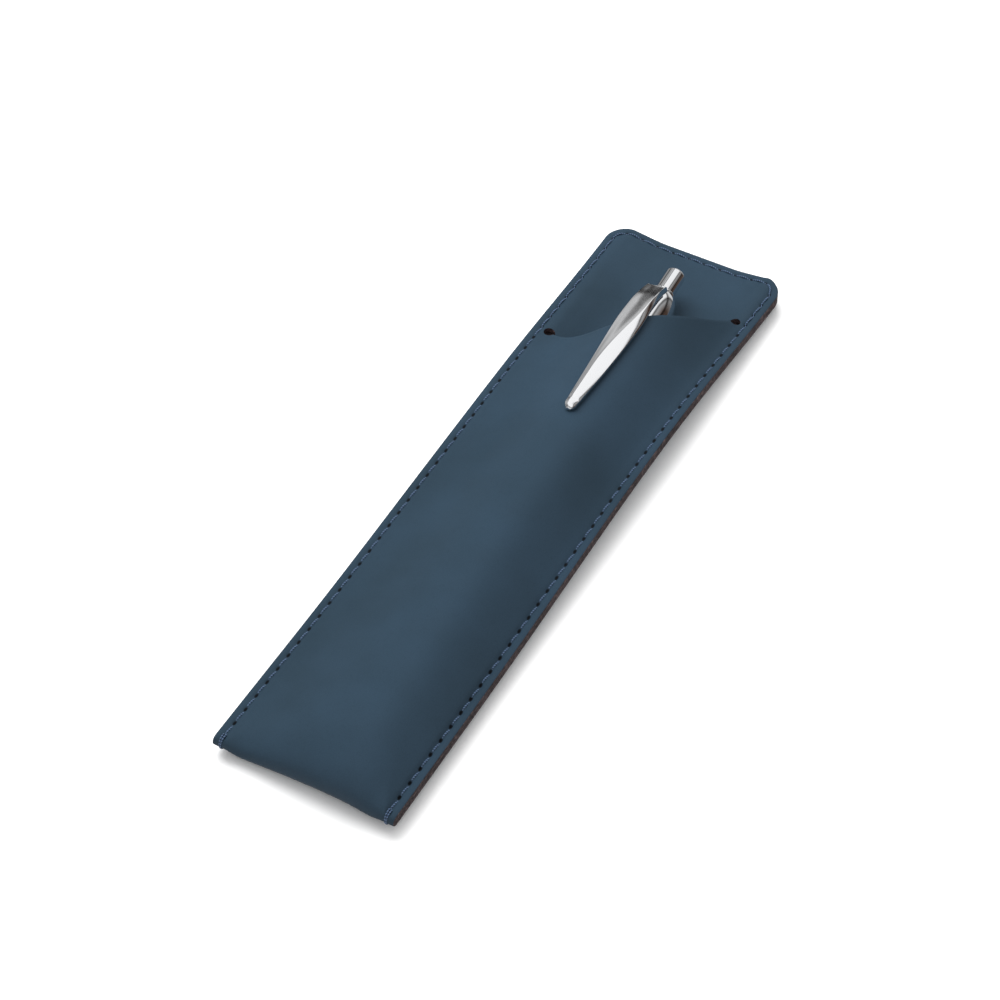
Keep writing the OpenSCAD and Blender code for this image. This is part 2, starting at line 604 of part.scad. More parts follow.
// Refill: point, ball, tube and ink
refill_tail = rotor_from + socket_len - 0.05;
point_len = 17;
point_from = tip_back + ball_d / 2;
flange_len = 0.8;
plug_len = 3;
module refill_tube() {
    color("#f0efe9") in_pen() turned([[ink_d / 2, point_len + flange_len], [refill_d / 2, point_len + flange_len],
        [refill_d / 2, refill_tail], [ink_d / 2, refill_tail]]);
}
module ink_column() {
    color("#1b2a63") in_pen() turned([[0, point_len + flange_len + plug_len + 0.1],
        [ink_d / 2 - 0.02, point_len + flange_len + plug_len + 0.1],
        [ink_d / 2 - 0.02, refill_tail - 15], [0, refill_tail - 15]]);
}
module refill_point() {
    ball_r = ball_d / 2;
    wall = ball_r - 0.02;
    color("#c9a24a") in_pen() difference() {
        turned([[0, point_from], [wall, point_from], [0.6, point_from + 1.2], [0.6, 6], [1.15, 9],
            [1.15, point_len], [spring_mean_r + spring_wire / 2, point_len],
            [spring_mean_r + spring_wire / 2, point_len + flange_len], [ink_d / 2 - 0.01, point_len + flange_len],
            [ink_d / 2 - 0.01, point_len + flange_len + plug_len], [0, point_len + flange_len + plug_len]]);
        translate([0, 0, tip_back + ball_r]) sphere(r = ball_r + 0.02);
        translate([0, 0, point_from]) cylinder(r = ink_d / 10, h = point_len + flange_len + plug_len);
    }
}
module writing_ball() {
    color("#bfc3c7") in_pen() translate([0, 0, tip_back + ball_d / 2]) sphere(d = ball_d);
}

// Return spring, a helix between the seat in the nose cone and the flange on the refill
spring_mean_r = 1.65;
turn_steps = 12;
wire_sides = 6;
module return_spring() {
    low = spring_seat + spring_wire / 2 + 0.02;
    high = point_len - spring_wire / 2 - 0.02;
    n = spring_turns * turn_steps;
    rings = [for (i = [0:n]) let (a = 360 * i / turn_steps, z = low + (high - low) * i / n)
        each [for (k = [0:wire_sides - 1])
            let (b = 360 * k / wire_sides, r = spring_mean_r + spring_wire / 2 * cos(b))
            [r * cos(a), r * sin(a), z + spring_wire / 2 * sin(b)]]];
    walls = [for (i = [0:n - 1], k = [0:wire_sides - 1])
        let (p = wire_sides * i + k, q = wire_sides * i + (k + 1) % wire_sides)
        each [[p, q, q + wire_sides], [p, q + wire_sides, p + wire_sides]]];
    last = wire_sides * n;
    caps = concat([for (k = [1:wire_sides - 2]) [0, k + 1, k]],
        [for (k = [1:wire_sides - 2]) [last, last + k, last + k + 1]]);
    color("#9aa0a6") in_pen() polyhedron(rings, concat(walls, caps), convexity = 10);
}

front_panel();
back_panel();
needle_thread();
bobbin_thread();
nose_cone();
lower_barrel();
barrel_coupler();
trim_ring();
upper_barrel();
top_collar();
clip();
push_button();
cam_plunger();
cam_sleeve();
index_rotor();
refill_tube();
ink_column();
refill_point();
writing_ball();
return_spring();
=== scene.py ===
"""Looks for the single pen sleeve: folded leather, stitching, raw edges and the plated click pen in it."""
import math

import bmesh
import bpy
from mathutils import Matrix, Vector, noise


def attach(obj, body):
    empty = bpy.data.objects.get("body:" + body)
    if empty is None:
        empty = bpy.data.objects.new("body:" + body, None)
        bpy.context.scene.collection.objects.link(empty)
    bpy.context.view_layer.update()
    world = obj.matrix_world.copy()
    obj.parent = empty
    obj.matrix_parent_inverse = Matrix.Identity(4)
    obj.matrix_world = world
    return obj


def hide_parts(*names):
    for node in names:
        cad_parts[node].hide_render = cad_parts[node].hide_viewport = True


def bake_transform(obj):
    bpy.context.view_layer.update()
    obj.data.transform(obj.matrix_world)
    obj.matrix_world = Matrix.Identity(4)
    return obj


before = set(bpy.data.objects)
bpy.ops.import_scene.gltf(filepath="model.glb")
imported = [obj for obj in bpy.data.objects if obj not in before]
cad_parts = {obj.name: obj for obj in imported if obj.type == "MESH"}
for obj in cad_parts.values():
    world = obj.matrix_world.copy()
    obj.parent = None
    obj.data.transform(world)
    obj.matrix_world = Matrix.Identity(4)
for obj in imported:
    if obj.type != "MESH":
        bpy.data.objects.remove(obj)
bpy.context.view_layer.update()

MM = 0.001
D2R = math.pi / 180

# Lengths are in millimetres and angles in degrees. The forms are those of the part's own source.
# The leather strip: its outline, how it draws in, and how the lying sleeve rises and curls
SLEEVE_LEN, SLEEVE_W, LEATHER_T, CORNER_R = 159.0, 40.0, 1.3, 5.0
SIDE_DRAW, FOLD_DRAW, PLY_GAP, FOLD_RISE = 1.15, 0.3, 0.06, 4.6
SEAM_LOW, SEAM_LIFT, SEAM_PEAK, TOP_CURL = 2.7, 2.1, 53.0, 0.4
FLAT_SHARE, FOLD_FLAT, CROWN_LEAN = 0.4, 0.75, 1.2
# How far the fold's form reaches into the back layer, and how the front layer rolls up out of it
FOLD_RUN, FLAT_RUN, ROLL_RUN, ROLL_POWER = 7.0, 45.0, 14.7, 2.5
# The slit across the front layer, and the punched holes that stop it from tearing
SLIT_LEFT, SLIT_RIGHT, SLIT_DIP, SLIT_W = 38.3, 16.2, 7.8, 0.4
RELIEF_D, RELIEF_FROM_SEAM, PUNCH_LEN = 2.4, 2.3, 4.0
# The stitches, how deep they pull the leather in, and how far the cut edge is pressed down
STITCH_INSET, STITCH_PITCH, THREAD_D = 1.6, 3.65, 0.55
GROOVE_DEPTH, GROOVE_W, HOLE_DEPTH, HOLE_W, HOLE_LEN = 0.13, 0.55, 0.3, 0.33, 0.5
EDGE_SINK, EDGE_FROM, EDGE_ROUND = 0.16, 0.7, 0.16
# A stitch's slant and wobble; its rise, its dive into the holes and its radius in thread widths
STITCH_SLANT, STITCH_WOBBLE = 0.2, 0.03
STITCH_RISE, HOLE_DIVE, HOLE_THREAD_R, STITCH_SWELL = 0.9, 0.825, 0.27, 0.07
# The wraps over the fold: half their turn as a share of 180 degrees, their place and their thread
WRAP_TURN, WRAP_OUT, WRAP_SPREAD, WRAP_LIFT, WRAP_RUN, WRAP_R = 0.62, 0.28, 0.5, 0.05, 1.3, 0.3
# Where the pen lies, and its barrel
PEN_FROM_TOP, PEN_SIDE, PEN_TILT, PEN_YAW, PEN_ROOM = 12.3, 0.42, 1.3, 2.5, 0.34
PEN_LEN, BARREL_D, BARREL_FAT_AT, BARREL_BOW, BORE_D = 138.0, 9.4, 90.0, 2.4, 6.2
RING_AT, RING_LEN, RING_PROUD, RING_ROUND = 66.0, 1.8, 0.12, 0.2
SHOULDER_LEN, SHOULDER_D, NECK_DEPTH = 6.0, 6.0, 3.0
# The nose, its spigot in the lower barrel, and the room for the coupler, spring and refill
NOSE_LEN, NOSE_D, NOSE_HOLE_D, NOSE_HOLE_LEN = 13.0, 2.5, 1.4, 2.2
SPIGOT_R, SPIGOT_LEN, SPRING_ROOM_R, SEAT_HOLE_R, COUPLER_ROOM = 2.6, 5.0, 2.0, 1.35, 9.0
SPRING_SEAT, SPRING_WIRE, SPRING_R, SPRING_TURNS, POINT_LEN = 5.0, 0.4, 1.65, 9, 17.0
# The push button and the collar round it
BUTTON_D, BUTTON_OUT, BUTTON_ROOT, BUTTON_ROUND = 4.3, 7.2, 5.5, 0.5
COLLAR_D, COLLAR_H, COLLAR_ROUND, COLLAR_NECK_T, COLLAR_NECK_LEN = 5.7, 1.1, 0.3, 0.45, 2.9
SLIDE_GAP, PRESS_GAP = 0.05, 0.02
# The clip, and the round foot that it rocks on
CLIP_LEN, CLIP_FROM_TOP, CLIP_W, CLIP_ROOT_W, CLIP_TIP_W = 40.5, 10.2, 5.5, 4.2, 2.2
CLIP_EDGE_T, CLIP_RIDGE_T, CLIP_ROOM, CLIP_BEND, CLIP_ARCH = 1.1, 0.8, 0.12, 0.8, 0.15
FOOT_R, FOOT_W, FOOT_BACK = 0.7, 3.0, 0.9
# Metal that bends by more than this has a sharp edge, and leather is rounded off there
TURNED_CREASE, CLIP_CREASE, LEATHER_CREASE = 32, 30, 55

HALF_LEN, HALF_W = SLEEVE_LEN / 2, SLEEVE_W / 2
SLIT_U = 1 - (STITCH_INSET + RELIEF_FROM_SEAM) / HALF_W
SLIT_LEFT_Y, SLIT_RIGHT_Y = HALF_LEN - SLIT_LEFT, HALF_LEN - SLIT_RIGHT
FOLD_START = -HALF_LEN + FOLD_DRAW + LEATHER_T + FOLD_RISE / 2


def ease(t):
    """From 0 to 1 with a soft start and a soft end."""
    c = min(1.0, max(0.0, t))
    return c * c * (3 - 2 * c)


def crown(s):
    """A hump of height 1 between -1 and 1."""
    return 0.0 if abs(s) >= 1 else (1 + math.cos(math.pi * s)) / 2


def side_x(y):
    """Half the width of the strip along its sides, which draw in towards the fold."""
    return HALF_W - SIDE_DRAW * math.sin(90 * D2R * min(1.0, max(0.0, (HALF_LEN - y) / HALF_LEN)))


def edge_x(y):
    """Half the width of the strip, with its rounded top corners."""
    d = y - (HALF_LEN - CORNER_R)
    cut = 0.0 if d <= 0 else CORNER_R - math.sqrt(max(0.0, CORNER_R ** 2 - d * d))
    return side_x(y) - cut


def seam_x(y):
    """How far the stitch lines are from the middle."""
    return side_x(y) - STITCH_INSET


def slit_y(u):
    """Place of the slit, for u from -1 to 1 across the strip."""
    f = min(1.0, max(0.0, (u + SLIT_U) / (2 * SLIT_U)))
    return SLIT_LEFT_Y + (SLIT_RIGHT_Y - SLIT_LEFT_Y) * f - SLIT_DIP * 4 * f * (1 - f)


MOUTH_Y = slit_y(PEN_SIDE / HALF_W)
PEN_TOP_Y = HALF_LEN - PEN_FROM_TOP
PEN_TOP_Z = (2 * LEATHER_T + PLY_GAP + BARREL_D / 2 + PEN_ROOM
             + (PEN_TOP_Y - MOUTH_Y) * math.tan(PEN_TILT * D2R))


def axis_x(y):
    """The pen's axis seen from above."""
    return PEN_SIDE + (PEN_TOP_Y - y) * math.tan(PEN_YAW * D2R)


def axis_z(y):
    """Height of the pen's axis."""
    return PEN_TOP_Z - (PEN_TOP_Y - y) * math.tan(PEN_TILT * D2R) / math.cos(PEN_YAW * D2R)


def barrel_r(q):
    """The barrel's radius, q mm from the tip of the nose."""
    return BARREL_D / 2 - BARREL_BOW * ((q - BARREL_FAT_AT) / 100) ** 2


def passing_r(y):
    """Largest radius that passes here when the pen is drawn out."""
    q = PEN_LEN - (PEN_TOP_Y - y) / (math.cos(PEN_TILT * D2R) * math.cos(PEN_YAW * D2R))
    return barrel_r(min(BARREL_FAT_AT, q))


def seam_z(y):
    """Height at which the two layers meet in the stitch line."""
    d = y - (HALF_LEN - SEAM_PEAK)
    run = SEAM_PEAK if d > 0 else HALF_LEN
    return SEAM_LOW + SEAM_LIFT * math.cos(90 * D2R * min(1.0, abs(d) / run)) ** 2


def back_z(x, y):
    """Inner face of the back layer: flat in the middle, rising to the stitch lines."""
    s = abs(x) / seam_x(y)
    rest = LEATHER_T + TOP_CURL * ease((y - SLIT_LEFT_Y) / SLIT_LEFT)
    flat = FOLD_FLAT + (FLAT_SHARE - FOLD_FLAT) * ease((y - FOLD_START) / FLAT_RUN)
    return rest + (seam_z(y) - rest) * ease((s - flat) / (1 - flat))


def crown_z(y):
    """Height of the pocket over the pen."""
    return axis_z(y) + passing_r(y) + PEN_ROOM


def front_z(x, y, top):
    """Inner face of the front layer, arched up to a given top over the pen."""
    opened = ease((y - FOLD_START) / (SLIT_LEFT_Y - FOLD_START))
    c = axis_x(y) + CROWN_LEAN * opened
    right = x > c
    reach = seam_x(y) - c if right else seam_x(y) + c
    bend = 0.55 + 0.3 * opened if right else 0.7 + 0.7 * opened
    base = seam_z(y) + PLY_GAP
    return max(back_z(x, y) + PLY_GAP, base + (top - base) * crown((x - c) / reach) ** bend)


def pocket_z(x, y):
    """Inner face of the front layer below the slit."""
    return front_z(x, y, crown_z(y))


def upper_z(x, y):
    """Inner face of the front layer above the slit, where it lies on the back layer."""
    s = abs(x) / seam_x(y)
    rise = pocket_z(x, y) - back_z(x, y) - PLY_GAP
    return back_z(x, y) + PLY_GAP + rise * ease((s - SLIT_U) / (1 - SLIT_U))


def slope(f, x, y, along=True):
    """How many times its thickness a layer measures upwards where it slopes."""
    step = 0.5
    fx = (f(x + step, y) - f(x - step, y)) / (2 * step)
    fy = (f(x, y + step) - f(x, y - step)) / (2 * step) if along else 0.0
    return math.sqrt(1 + fx * fx + fy * fy)


# The stitch line as one coordinate: whole numbers are needle holes
SEAM_CORNER_R = CORNER_R - STITCH_INSET
SEAM_START = -HALF_LEN + LEATHER_T
SEAM_SIDE = HALF_LEN - CORNER_R - SEAM_START
SEAM_ARC = math.pi / 2 * SEAM_CORNER_R
SEAM_TOP = 2 * (HALF_W - CORNER_R)
SEAM_TOTAL = 2 * SEAM_SIDE + 2 * SEAM_ARC + SEAM_TOP
STITCHES = round(SEAM_TOTAL / STITCH_PITCH)
STITCH_LEN = SEAM_TOTAL / STITCHES


def seam_half(s):
    """The right half of the stitch line, s mm from the fold."""
    if s <= SEAM_SIDE:
        y = SEAM_START + s
        return seam_x(y), y
    if s <= SEAM_SIDE + SEAM_ARC:
        a = (s - SEAM_SIDE) / SEAM_CORNER_R
        cx = side_x(HALF_LEN - CORNER_R) - CORNER_R
        return cx + SEAM_CORNER_R * math.cos(a), HALF_LEN - CORNER_R + SEAM_CORNER_R * math.sin(a)
    return HALF_W - CORNER_R - (s - SEAM_SIDE - SEAM_ARC), HALF_LEN - STITCH_INSET


def seam_xy(s):
    """The stitch line, s mm from its start on the left of the fold."""
    if s < SEAM_TOTAL / 2:
        x, y = seam_half(s)
        return -x, y
    return seam_half(SEAM_TOTAL - s)


def seam_coord(x, y):
    """(holes counted along the stitch line, distance outside it in mm)."""
    ax = abs(x)
    cx = side_x(HALF_LEN - CORNER_R) - CORNER_R
    cy = HALF_LEN - CORNER_R
    if y <= cy:
        s, d = y - SEAM_START, ax - seam_x(y)
    elif ax > cx:
        a = math.atan2(y - cy, ax - cx)
        s, d = SEAM_SIDE + a * SEAM_CORNER_R, math.hypot(ax - cx, y - cy) - SEAM_CORNER_R
    else:
        s = SEAM_SIDE + SEAM_ARC + max(0.0, HALF_W - CORNER_R - ax)
        d = y - (HALF_LEN - STITCH_INSET)
    if x > 0:
        s = SEAM_TOTAL - s
    return s / STITCH_LEN, d


def press(x, y):
    """How far the surface is pulled in at the stitch line and at the cut edge, in mm."""
    k, d = seam_coord(x, y)
    along = abs(k - round(k)) * STITCH_LEN
    groove = GROOVE_DEPTH * math.exp(-(d / GROOVE_W) ** 2)
    hole = HOLE_DEPTH * math.exp(-(d / HOLE_W) ** 2 - (along / HOLE_LEN) ** 2)
    edge = EDGE_SINK * max(0.0, (d - EDGE_FROM) / (STITCH_INSET - EDGE_FROM)) ** 2
    return groove + hole + edge


# Materials
def srgb(hexa):
    """A colour as the eye sees it, written as #rrggbb, in the linear values that a render takes."""
    out = []
    for i in (1, 3, 5):
        c = int(hexa[i:i + 2], 16) / 255
        out.append(c / 12.92 if c <= 0.04045 else ((c + 0.055) / 1.055) ** 2.4)
    return (*out, 1.0)


def grey(v):
    """A grey of linear brightness v."""
    return (v, v, v, 1.0)


def every(mm):
    """Scale of a pattern that repeats about once in a real length, in millimetres."""
    return 1000 / mm


def add(tree, kind, inputs=None, stops=(), **settings):
    """A node with its settings, its inputs (a value or another node's output) and its colour stops."""
    n = tree.nodes.new(kind)
    for key, value in settings.items():
        setattr(n, key, value)
    for key, value in (inputs or {}).items():
        if isinstance(value, bpy.types.NodeSocket):
            tree.links.new(value, n.inputs[key])
        else:
            n.inputs[key].default_value = value
    for _ in stops[2:]:
        n.color_ramp.elements.new(0.5)
    for i, (pos, colour) in enumerate(stops):
        n.color_ramp.elements[i].position = pos
        n.color_ramp.elements[i].color = colour
    return n


def new_material(name, **values):
    """A material, its node tree and its surface node with the values given."""
    m = bpy.data.materials.new(name)
    m.use_nodes = True
    tree = m.node_tree
    b = tree.nodes["Principled BSDF"]
    for key, value in values.items():
        b.inputs[key.replace("_", " ")].default_value = value
    return m, tree, b


# Sockets of a colour Mix node
MIX_FAC, MIX_A, MIX_B, MIX_OUT = 0, 6, 7, 2


def leather_material():
    """Dyed, finished calf leather: satin, with a fine pebble grain, faint tone changes, and painted shade in
    the grain's creases and in the needle holes.
    """
    m, t, b = new_material("blue_leather", Specular_IOR_Level=0.14)
    co = add(t, "ShaderNodeTexCoord").outputs["Object"]
    # The dye's tone drifts over about 26 mm
    tone = add(t, "ShaderNodeTexNoise", {"Vector": co, "Scale": every(26.32), "Detail": 4.0}).outputs["Fac"]
    base = add(t, "ShaderNodeValToRGB", {"Fac": tone},
               [(0.3, srgb("#23333f")), (0.7, srgb("#293b4a"))]).outputs["Color"]
    # Pebbles 0.43 mm across, with painted shade darkening the creases between them
    pebble = add(t, "ShaderNodeTexVoronoi", {"Vector": co, "Scale": every(0.43)}, feature="DISTANCE_TO_EDGE")
    crease = add(t, "ShaderNodeValToRGB", {"Fac": pebble.outputs["Distance"]},
                 [(0.0, grey(0.72)), (0.12, grey(1.0))]).outputs["Color"]
    crease_shaded_grain = add(t, "ShaderNodeMix", {MIX_FAC: 0.35, MIX_A: base, MIX_B: crease}, data_type="RGBA",
                  blend_type="MULTIPLY").outputs[MIX_OUT]
    # Needle holes: painted shade, dark slots along the stitch line, twice as long as wide
    at = add(t, "ShaderNodeAttribute", attribute_name="seam").outputs["Vector"]
    seam = add(t, "ShaderNodeSeparateXYZ", {"Vector": at})
    turn = add(t, "ShaderNodeMath", {0: seam.outputs["X"], 1: 0.5}, operation="ADD").outputs[0]
    frac = add(t, "ShaderNodeMath", {0: turn}, operation="FRACT").outputs[0]
    off = add(t, "ShaderNodeMath", {0: frac, 1: 0.5}, operation="SUBTRACT").outputs[0]
    side = add(t, "ShaderNodeMath", {0: off}, operation="ABSOLUTE").outputs[0]
    along = add(t, "ShaderNodeMath", {0: side, 1: 0.5 * STITCH_LEN}, operation="MULTIPLY").outputs[0]
    along_2 = add(t, "ShaderNodeMath", {0: along, 1: 2.0}, operation="POWER").outputs[0]
    beside_2 = add(t, "ShaderNodeMath", {0: seam.outputs["Y"], 1: 2.0}, operation="POWER").outputs[0]
    far_2 = add(t, "ShaderNodeMath", {0: along_2, 1: beside_2}, operation="ADD").outputs[0]
    far = add(t, "ShaderNodeMath", {0: far_2}, operation="SQRT").outputs[0]
    hole = add(t, "ShaderNodeValToRGB", {"Fac": far}, [(0.2, grey(1.0)), (0.35, grey(0.0))]).outputs["Color"]
    dark = add(t, "ShaderNodeMix", {MIX_FAC: hole, MIX_A: crease_shaded_grain, MIX_B: srgb("#070b10")},
               data_type="RGBA").outputs[MIX_OUT]
    t.links.new(dark, b.inputs["Base Color"])
    # Handling leaves patches of about 6 mm that shine a little more
    worn = add(t, "ShaderNodeTexNoise", {"Vector": co, "Scale": every(6.25), "Detail": 5.0}).outputs["Fac"]
    spread = add(t, "ShaderNodeMath", {0: worn, 1: 0.14}, operation="MULTIPLY").outputs[0]
    rough = add(t, "ShaderNodeMath", {0: spread, 1: 0.48}, operation="ADD").outputs[0]
    t.links.new(rough, b.inputs["Roughness"])
    # Pores of 0.19 mm, coarser than real ones, so that they show
    pores = add(t, "ShaderNodeTexNoise", {"Vector": co, "Scale": every(0.19), "Detail": 3.0}).outputs["Fac"]
    deep = add(t, "ShaderNodeMath", {0: crease, 1: 0.6}, operation="MULTIPLY").outputs[0]
    fine = add(t, "ShaderNodeMath", {0: pores, 1: 0.5}, operation="MULTIPLY").outputs[0]
    height = add(t, "ShaderNodeMath", {0: deep, 1: fine}, operation="ADD").outputs[0]
    bump = add(t, "ShaderNodeBump", {"Height": height, "Strength": 0.32, "Distance": 0.06 * MM})
    t.links.new(bump.outputs["Normal"], b.inputs["Normal"])
    return m


def edge_material():
    """Cut edge of the leather: undyed plum-brown fibre between two dyed faces, rubbed smooth."""
    m, t, b = new_material("raw_edge", Roughness=0.72, Specular_IOR_Level=0.3)
    co = add(t, "ShaderNodeTexCoord").outputs["Object"]
    # Fibre bundles of about 0.7 mm, and patches of 4 mm that took more or less dye
    fibre = add(t, "ShaderNodeTexNoise", {"Vector": co, "Scale": every(0.67), "Detail": 6.0,
                                          "Roughness": 0.65}).outputs["Fac"]
    patch = add(t, "ShaderNodeTexNoise", {"Vector": co, "Scale": every(4.35), "Detail": 3.0}).outputs["Fac"]
    strands = add(t, "ShaderNodeValToRGB", {"Fac": fibre},
                  [(0.35, srgb("#1e191d")), (0.58, srgb("#463739")),
                   (0.72, srgb("#7a6660"))]).outputs["Color"]
    dye = add(t, "ShaderNodeValToRGB", {"Fac": patch},
              [(0.4, grey(0.75)), (0.65, grey(1.15))]).outputs["Color"]
    mixed = add(t, "ShaderNodeMix", {MIX_FAC: 1.0, MIX_A: strands, MIX_B: dye}, data_type="RGBA",
                blend_type="MULTIPLY").outputs[MIX_OUT]
    t.links.new(mixed, b.inputs["Base Color"])
    bump = add(t, "ShaderNodeBump", {"Height": fibre, "Strength": 0.6, "Distance": 0.12 * MM})
    t.links.new(bump.outputs["Normal"], b.inputs["Normal"])
    return m


def flesh_material():
    """Flesh side of the leather inside the pocket: a matte short nap in tufts of about 1 mm."""
    m, t, b = new_material("flesh_side", Roughness=0.95, Specular_IOR_Level=0.15, Sheen_Weight=0.25)
    co = add(t, "ShaderNodeTexCoord").outputs["Object"]
    nap = add(t, "ShaderNodeTexNoise", {"Vector": co, "Scale": every(1.11), "Detail": 7.0,
                                        "Roughness": 0.7}).outputs["Fac"]
    base = add(t, "ShaderNodeValToRGB", {"Fac": nap}, [(0.3, srgb("#2a2b33")), (0.7, srgb("#453c40"))])
    t.links.new(base.outputs["Color"], b.inputs["Base Color"])
    bump = add(t, "ShaderNodeBump", {"Height": nap, "Strength": 0.5, "Distance": 0.1 * MM})
    t.links.new(bump.outputs["Normal"], b.inputs["Normal"])
    return m


def thread_material():
    """Waxed polyester thread: slate blue, two plies twisted, with painted shade as dark lines between the
    plies.
    """
    m, t, b = new_material("waxed_thread", Roughness=0.55, Specular_IOR_Level=0.25)
    uv = add(t, "ShaderNodeUVMap", uv_map="thread").outputs["UV"]
    sep = add(t, "ShaderNodeSeparateXYZ", {"Vector": uv})
    # The map's first number is the length in mm: a ply passes every half millimetre
    length = add(t, "ShaderNodeMath", {0: sep.outputs["X"], 1: 2.0}, operation="MULTIPLY").outputs[0]
    turn = add(t, "ShaderNodeMath", {0: length, 1: sep.outputs["Y"]}, operation="ADD").outputs[0]
    angle = add(t, "ShaderNodeMath", {0: turn, 1: math.pi}, operation="MULTIPLY").outputs[0]
    sine = add(t, "ShaderNodeMath", {0: angle}, operation="SINE").outputs[0]
    ply = add(t, "ShaderNodeMath", {0: sine}, operation="ABSOLUTE").outputs[0]
    co = add(t, "ShaderNodeTexCoord").outputs["Object"]
    # Lint in specks of about 0.4 mm
    lint = add(t, "ShaderNodeTexNoise", {"Vector": co, "Scale": every(0.42), "Detail": 4.0}).outputs["Fac"]
    # Painted shade: the thread is darker between the plies and lighter on their crowns
    ply_shade = add(t, "ShaderNodeMath", {0: ply, 1: 0.75}, operation="MULTIPLY").outputs[0]
    specks = add(t, "ShaderNodeMath", {0: lint, 1: 0.3}, operation="MULTIPLY").outputs[0]
    tone = add(t, "ShaderNodeMath", {0: ply_shade, 1: specks}, operation="ADD").outputs[0]
    base = add(t, "ShaderNodeValToRGB", {"Fac": tone},
               [(0.15, srgb("#1a2533")), (0.55, srgb("#36475f")), (0.95, srgb("#52657f"))])
    t.links.new(base.outputs["Color"], b.inputs["Base Color"])
    bump = add(t, "ShaderNodeBump", {"Height": ply, "Strength": 0.8, "Distance": 0.1 * MM})
    t.links.new(bump.outputs["Normal"], b.inputs["Normal"])
    return m


def metal_material(name, tint, rough, grain=(1.0, 1.0, 1.0)):
    """Polished, plated or drawn metal: mirror-like, with a little handling haze and a faint waviness."""
    m, t, b = new_material(name, Metallic=1.0, Base_Color=srgb(tint))
    co = add(t, "ShaderNodeTexCoord").outputs["Object"]
    along = add(t, "ShaderNodeMapping", {"Vector": co, "Scale": grain}).outputs["Vector"]
    # Haze in patches of about 2.4 mm, and a polisher's waves of about 7 mm
    haze = add(t, "ShaderNodeTexNoise", {"Vector": along, "Scale": every(2.38), "Detail": 5.0}).outputs["Fac"]
    spread = add(t, "ShaderNodeMath", {0: haze, 1: rough * 0.9}, operation="MULTIPLY").outputs[0]
    dull = add(t, "ShaderNodeMath", {0: spread, 1: rough * 0.55}, operation="ADD").outputs[0]
    t.links.new(dull, b.inputs["Roughness"])
    wave = add(t, "ShaderNodeTexNoise", {"Vector": co, "Scale": every(6.67), "Detail": 2.0}).outputs["Fac"]
    bump = add(t, "ShaderNodeBump", {"Height": wave, "Strength": 0.05, "Distance": 0.2 * MM})
    t.links.new(bump.outputs["Normal"], b.inputs["Normal"])
    return m


def plastic_material(name, low, high, rough):
    """Moulded plastic: slight mould texture of about 1.4 mm and the same small change of tone."""
    m, t, b = new_material(name, Roughness=rough)
    co = add(t, "ShaderNodeTexCoord").outputs["Object"]
    n = add(t, "ShaderNodeTexNoise", {"Vector": co, "Scale": every(1.43), "Detail": 4.0}).outputs["Fac"]
    base = add(t, "ShaderNodeValToRGB", {"Fac": n}, [(0.3, srgb(low)), (0.7, srgb(high))])
    t.links.new(base.outputs["Color"], b.inputs["Base Color"])
    bump = add(t, "ShaderNodeBump", {"Height": n, "Strength": 0.15, "Distance": 0.05 * MM})
    t.links.new(bump.outputs["Normal"], b.inputs["Normal"])
    return m


LEATHER = leather_material()
EDGE = edge_material()
FLESH = flesh_material()
THREAD = thread_material()
CHROME = metal_material("bright_plating", "#e6e7e9", 0.1)
CLIP_METAL = metal_material("clip_plating", "#ebecee", 0.13)
# Turned on a lathe, so its haze runs in short rings
BRASS = metal_material("turned_brass", "#c99f4e", 0.3, (1.0, 6.0, 1.0))
STEEL = metal_material("spring_wire", "#a6abb0", 0.35)
CREAM = plastic_material("cream_plastic", "#d9d5c8", "#e6e3d8", 0.45)
TUBE = plastic_material("tube_plastic", "#e6e6e0", "#f3f3ee", 0.25)
INK = plastic_material("ink", "#141f4d", "#1d2c66", 0.2)


def linked(name, data):
    """A new object of the scene."""
    o = bpy.data.objects.new(name, data)
    bpy.context.scene.collection.objects.link(o)
    return o


def make(name, verts, faces, materials):
    """A smooth piece from points in millimetres and their faces."""
    me = bpy.data.meshes.new(name)
    me.from_pydata([[c * MM for c in v] for v in verts], [], faces)
    for m in materials:
        me.materials.append(m)
    me.validate()
    for p in me.polygons:
        p.use_smooth = True
    return linked(name, me)


def solid(name, bm, material, crease):
    """A piece from a closed bmesh, with a sharp edge where the surface turns by more than crease."""
    bmesh.ops.recalc_face_normals(bm, faces=bm.faces)
    for f in bm.faces:
        f.smooth = True
    for e in bm.edges:
        if len(e.link_faces) == 2 and e.calc_face_angle(0) > crease * D2R:
            e.smooth = False
    me = bpy.data.meshes.new(name)
    bm.to_mesh(me)
    bm.free()
    me.materials.append(material)
    return linked(name, me)


def rod(bm, segments, radius, length, place):
    """A round rod about its own middle, put in its place."""
    bmesh.ops.create_cone(bm, cap_ends=True, segments=segments, radius1=radius * MM, radius2=radius * MM,
                          depth=length * MM, matrix=place)


# The leather strip: front layer, fold and back layer in one closed mesh.
# Its columns are finer beside the stitch lines, and the slit's ends lie on LEFT_COL and RIGHT_COL
SIDE_COLS, MOUTH_COLS = 14, 46
LEFT_COL, RIGHT_COL = SIDE_COLS, SIDE_COLS + MOUTH_COLS
COLS = [-1 + (1 - SLIT_U) * i / SIDE_COLS for i in range(SIDE_COLS)]
COLS += [-SLIT_U + 2 * SLIT_U * i / MOUTH_COLS for i in range(MOUTH_COLS + 1)]
COLS += [SLIT_U + (1 - SLIT_U) * i / SIDE_COLS for i in range(1, SIDE_COLS + 1)]
POCKET_ROWS, UPPER_ROWS, CORNER_ROWS, FOLD_ROWS, BACK_ROWS = 190, 52, 14, 12, 200
# The pocket's rows lie closer together towards the fold
ROW_POWER = 1.25
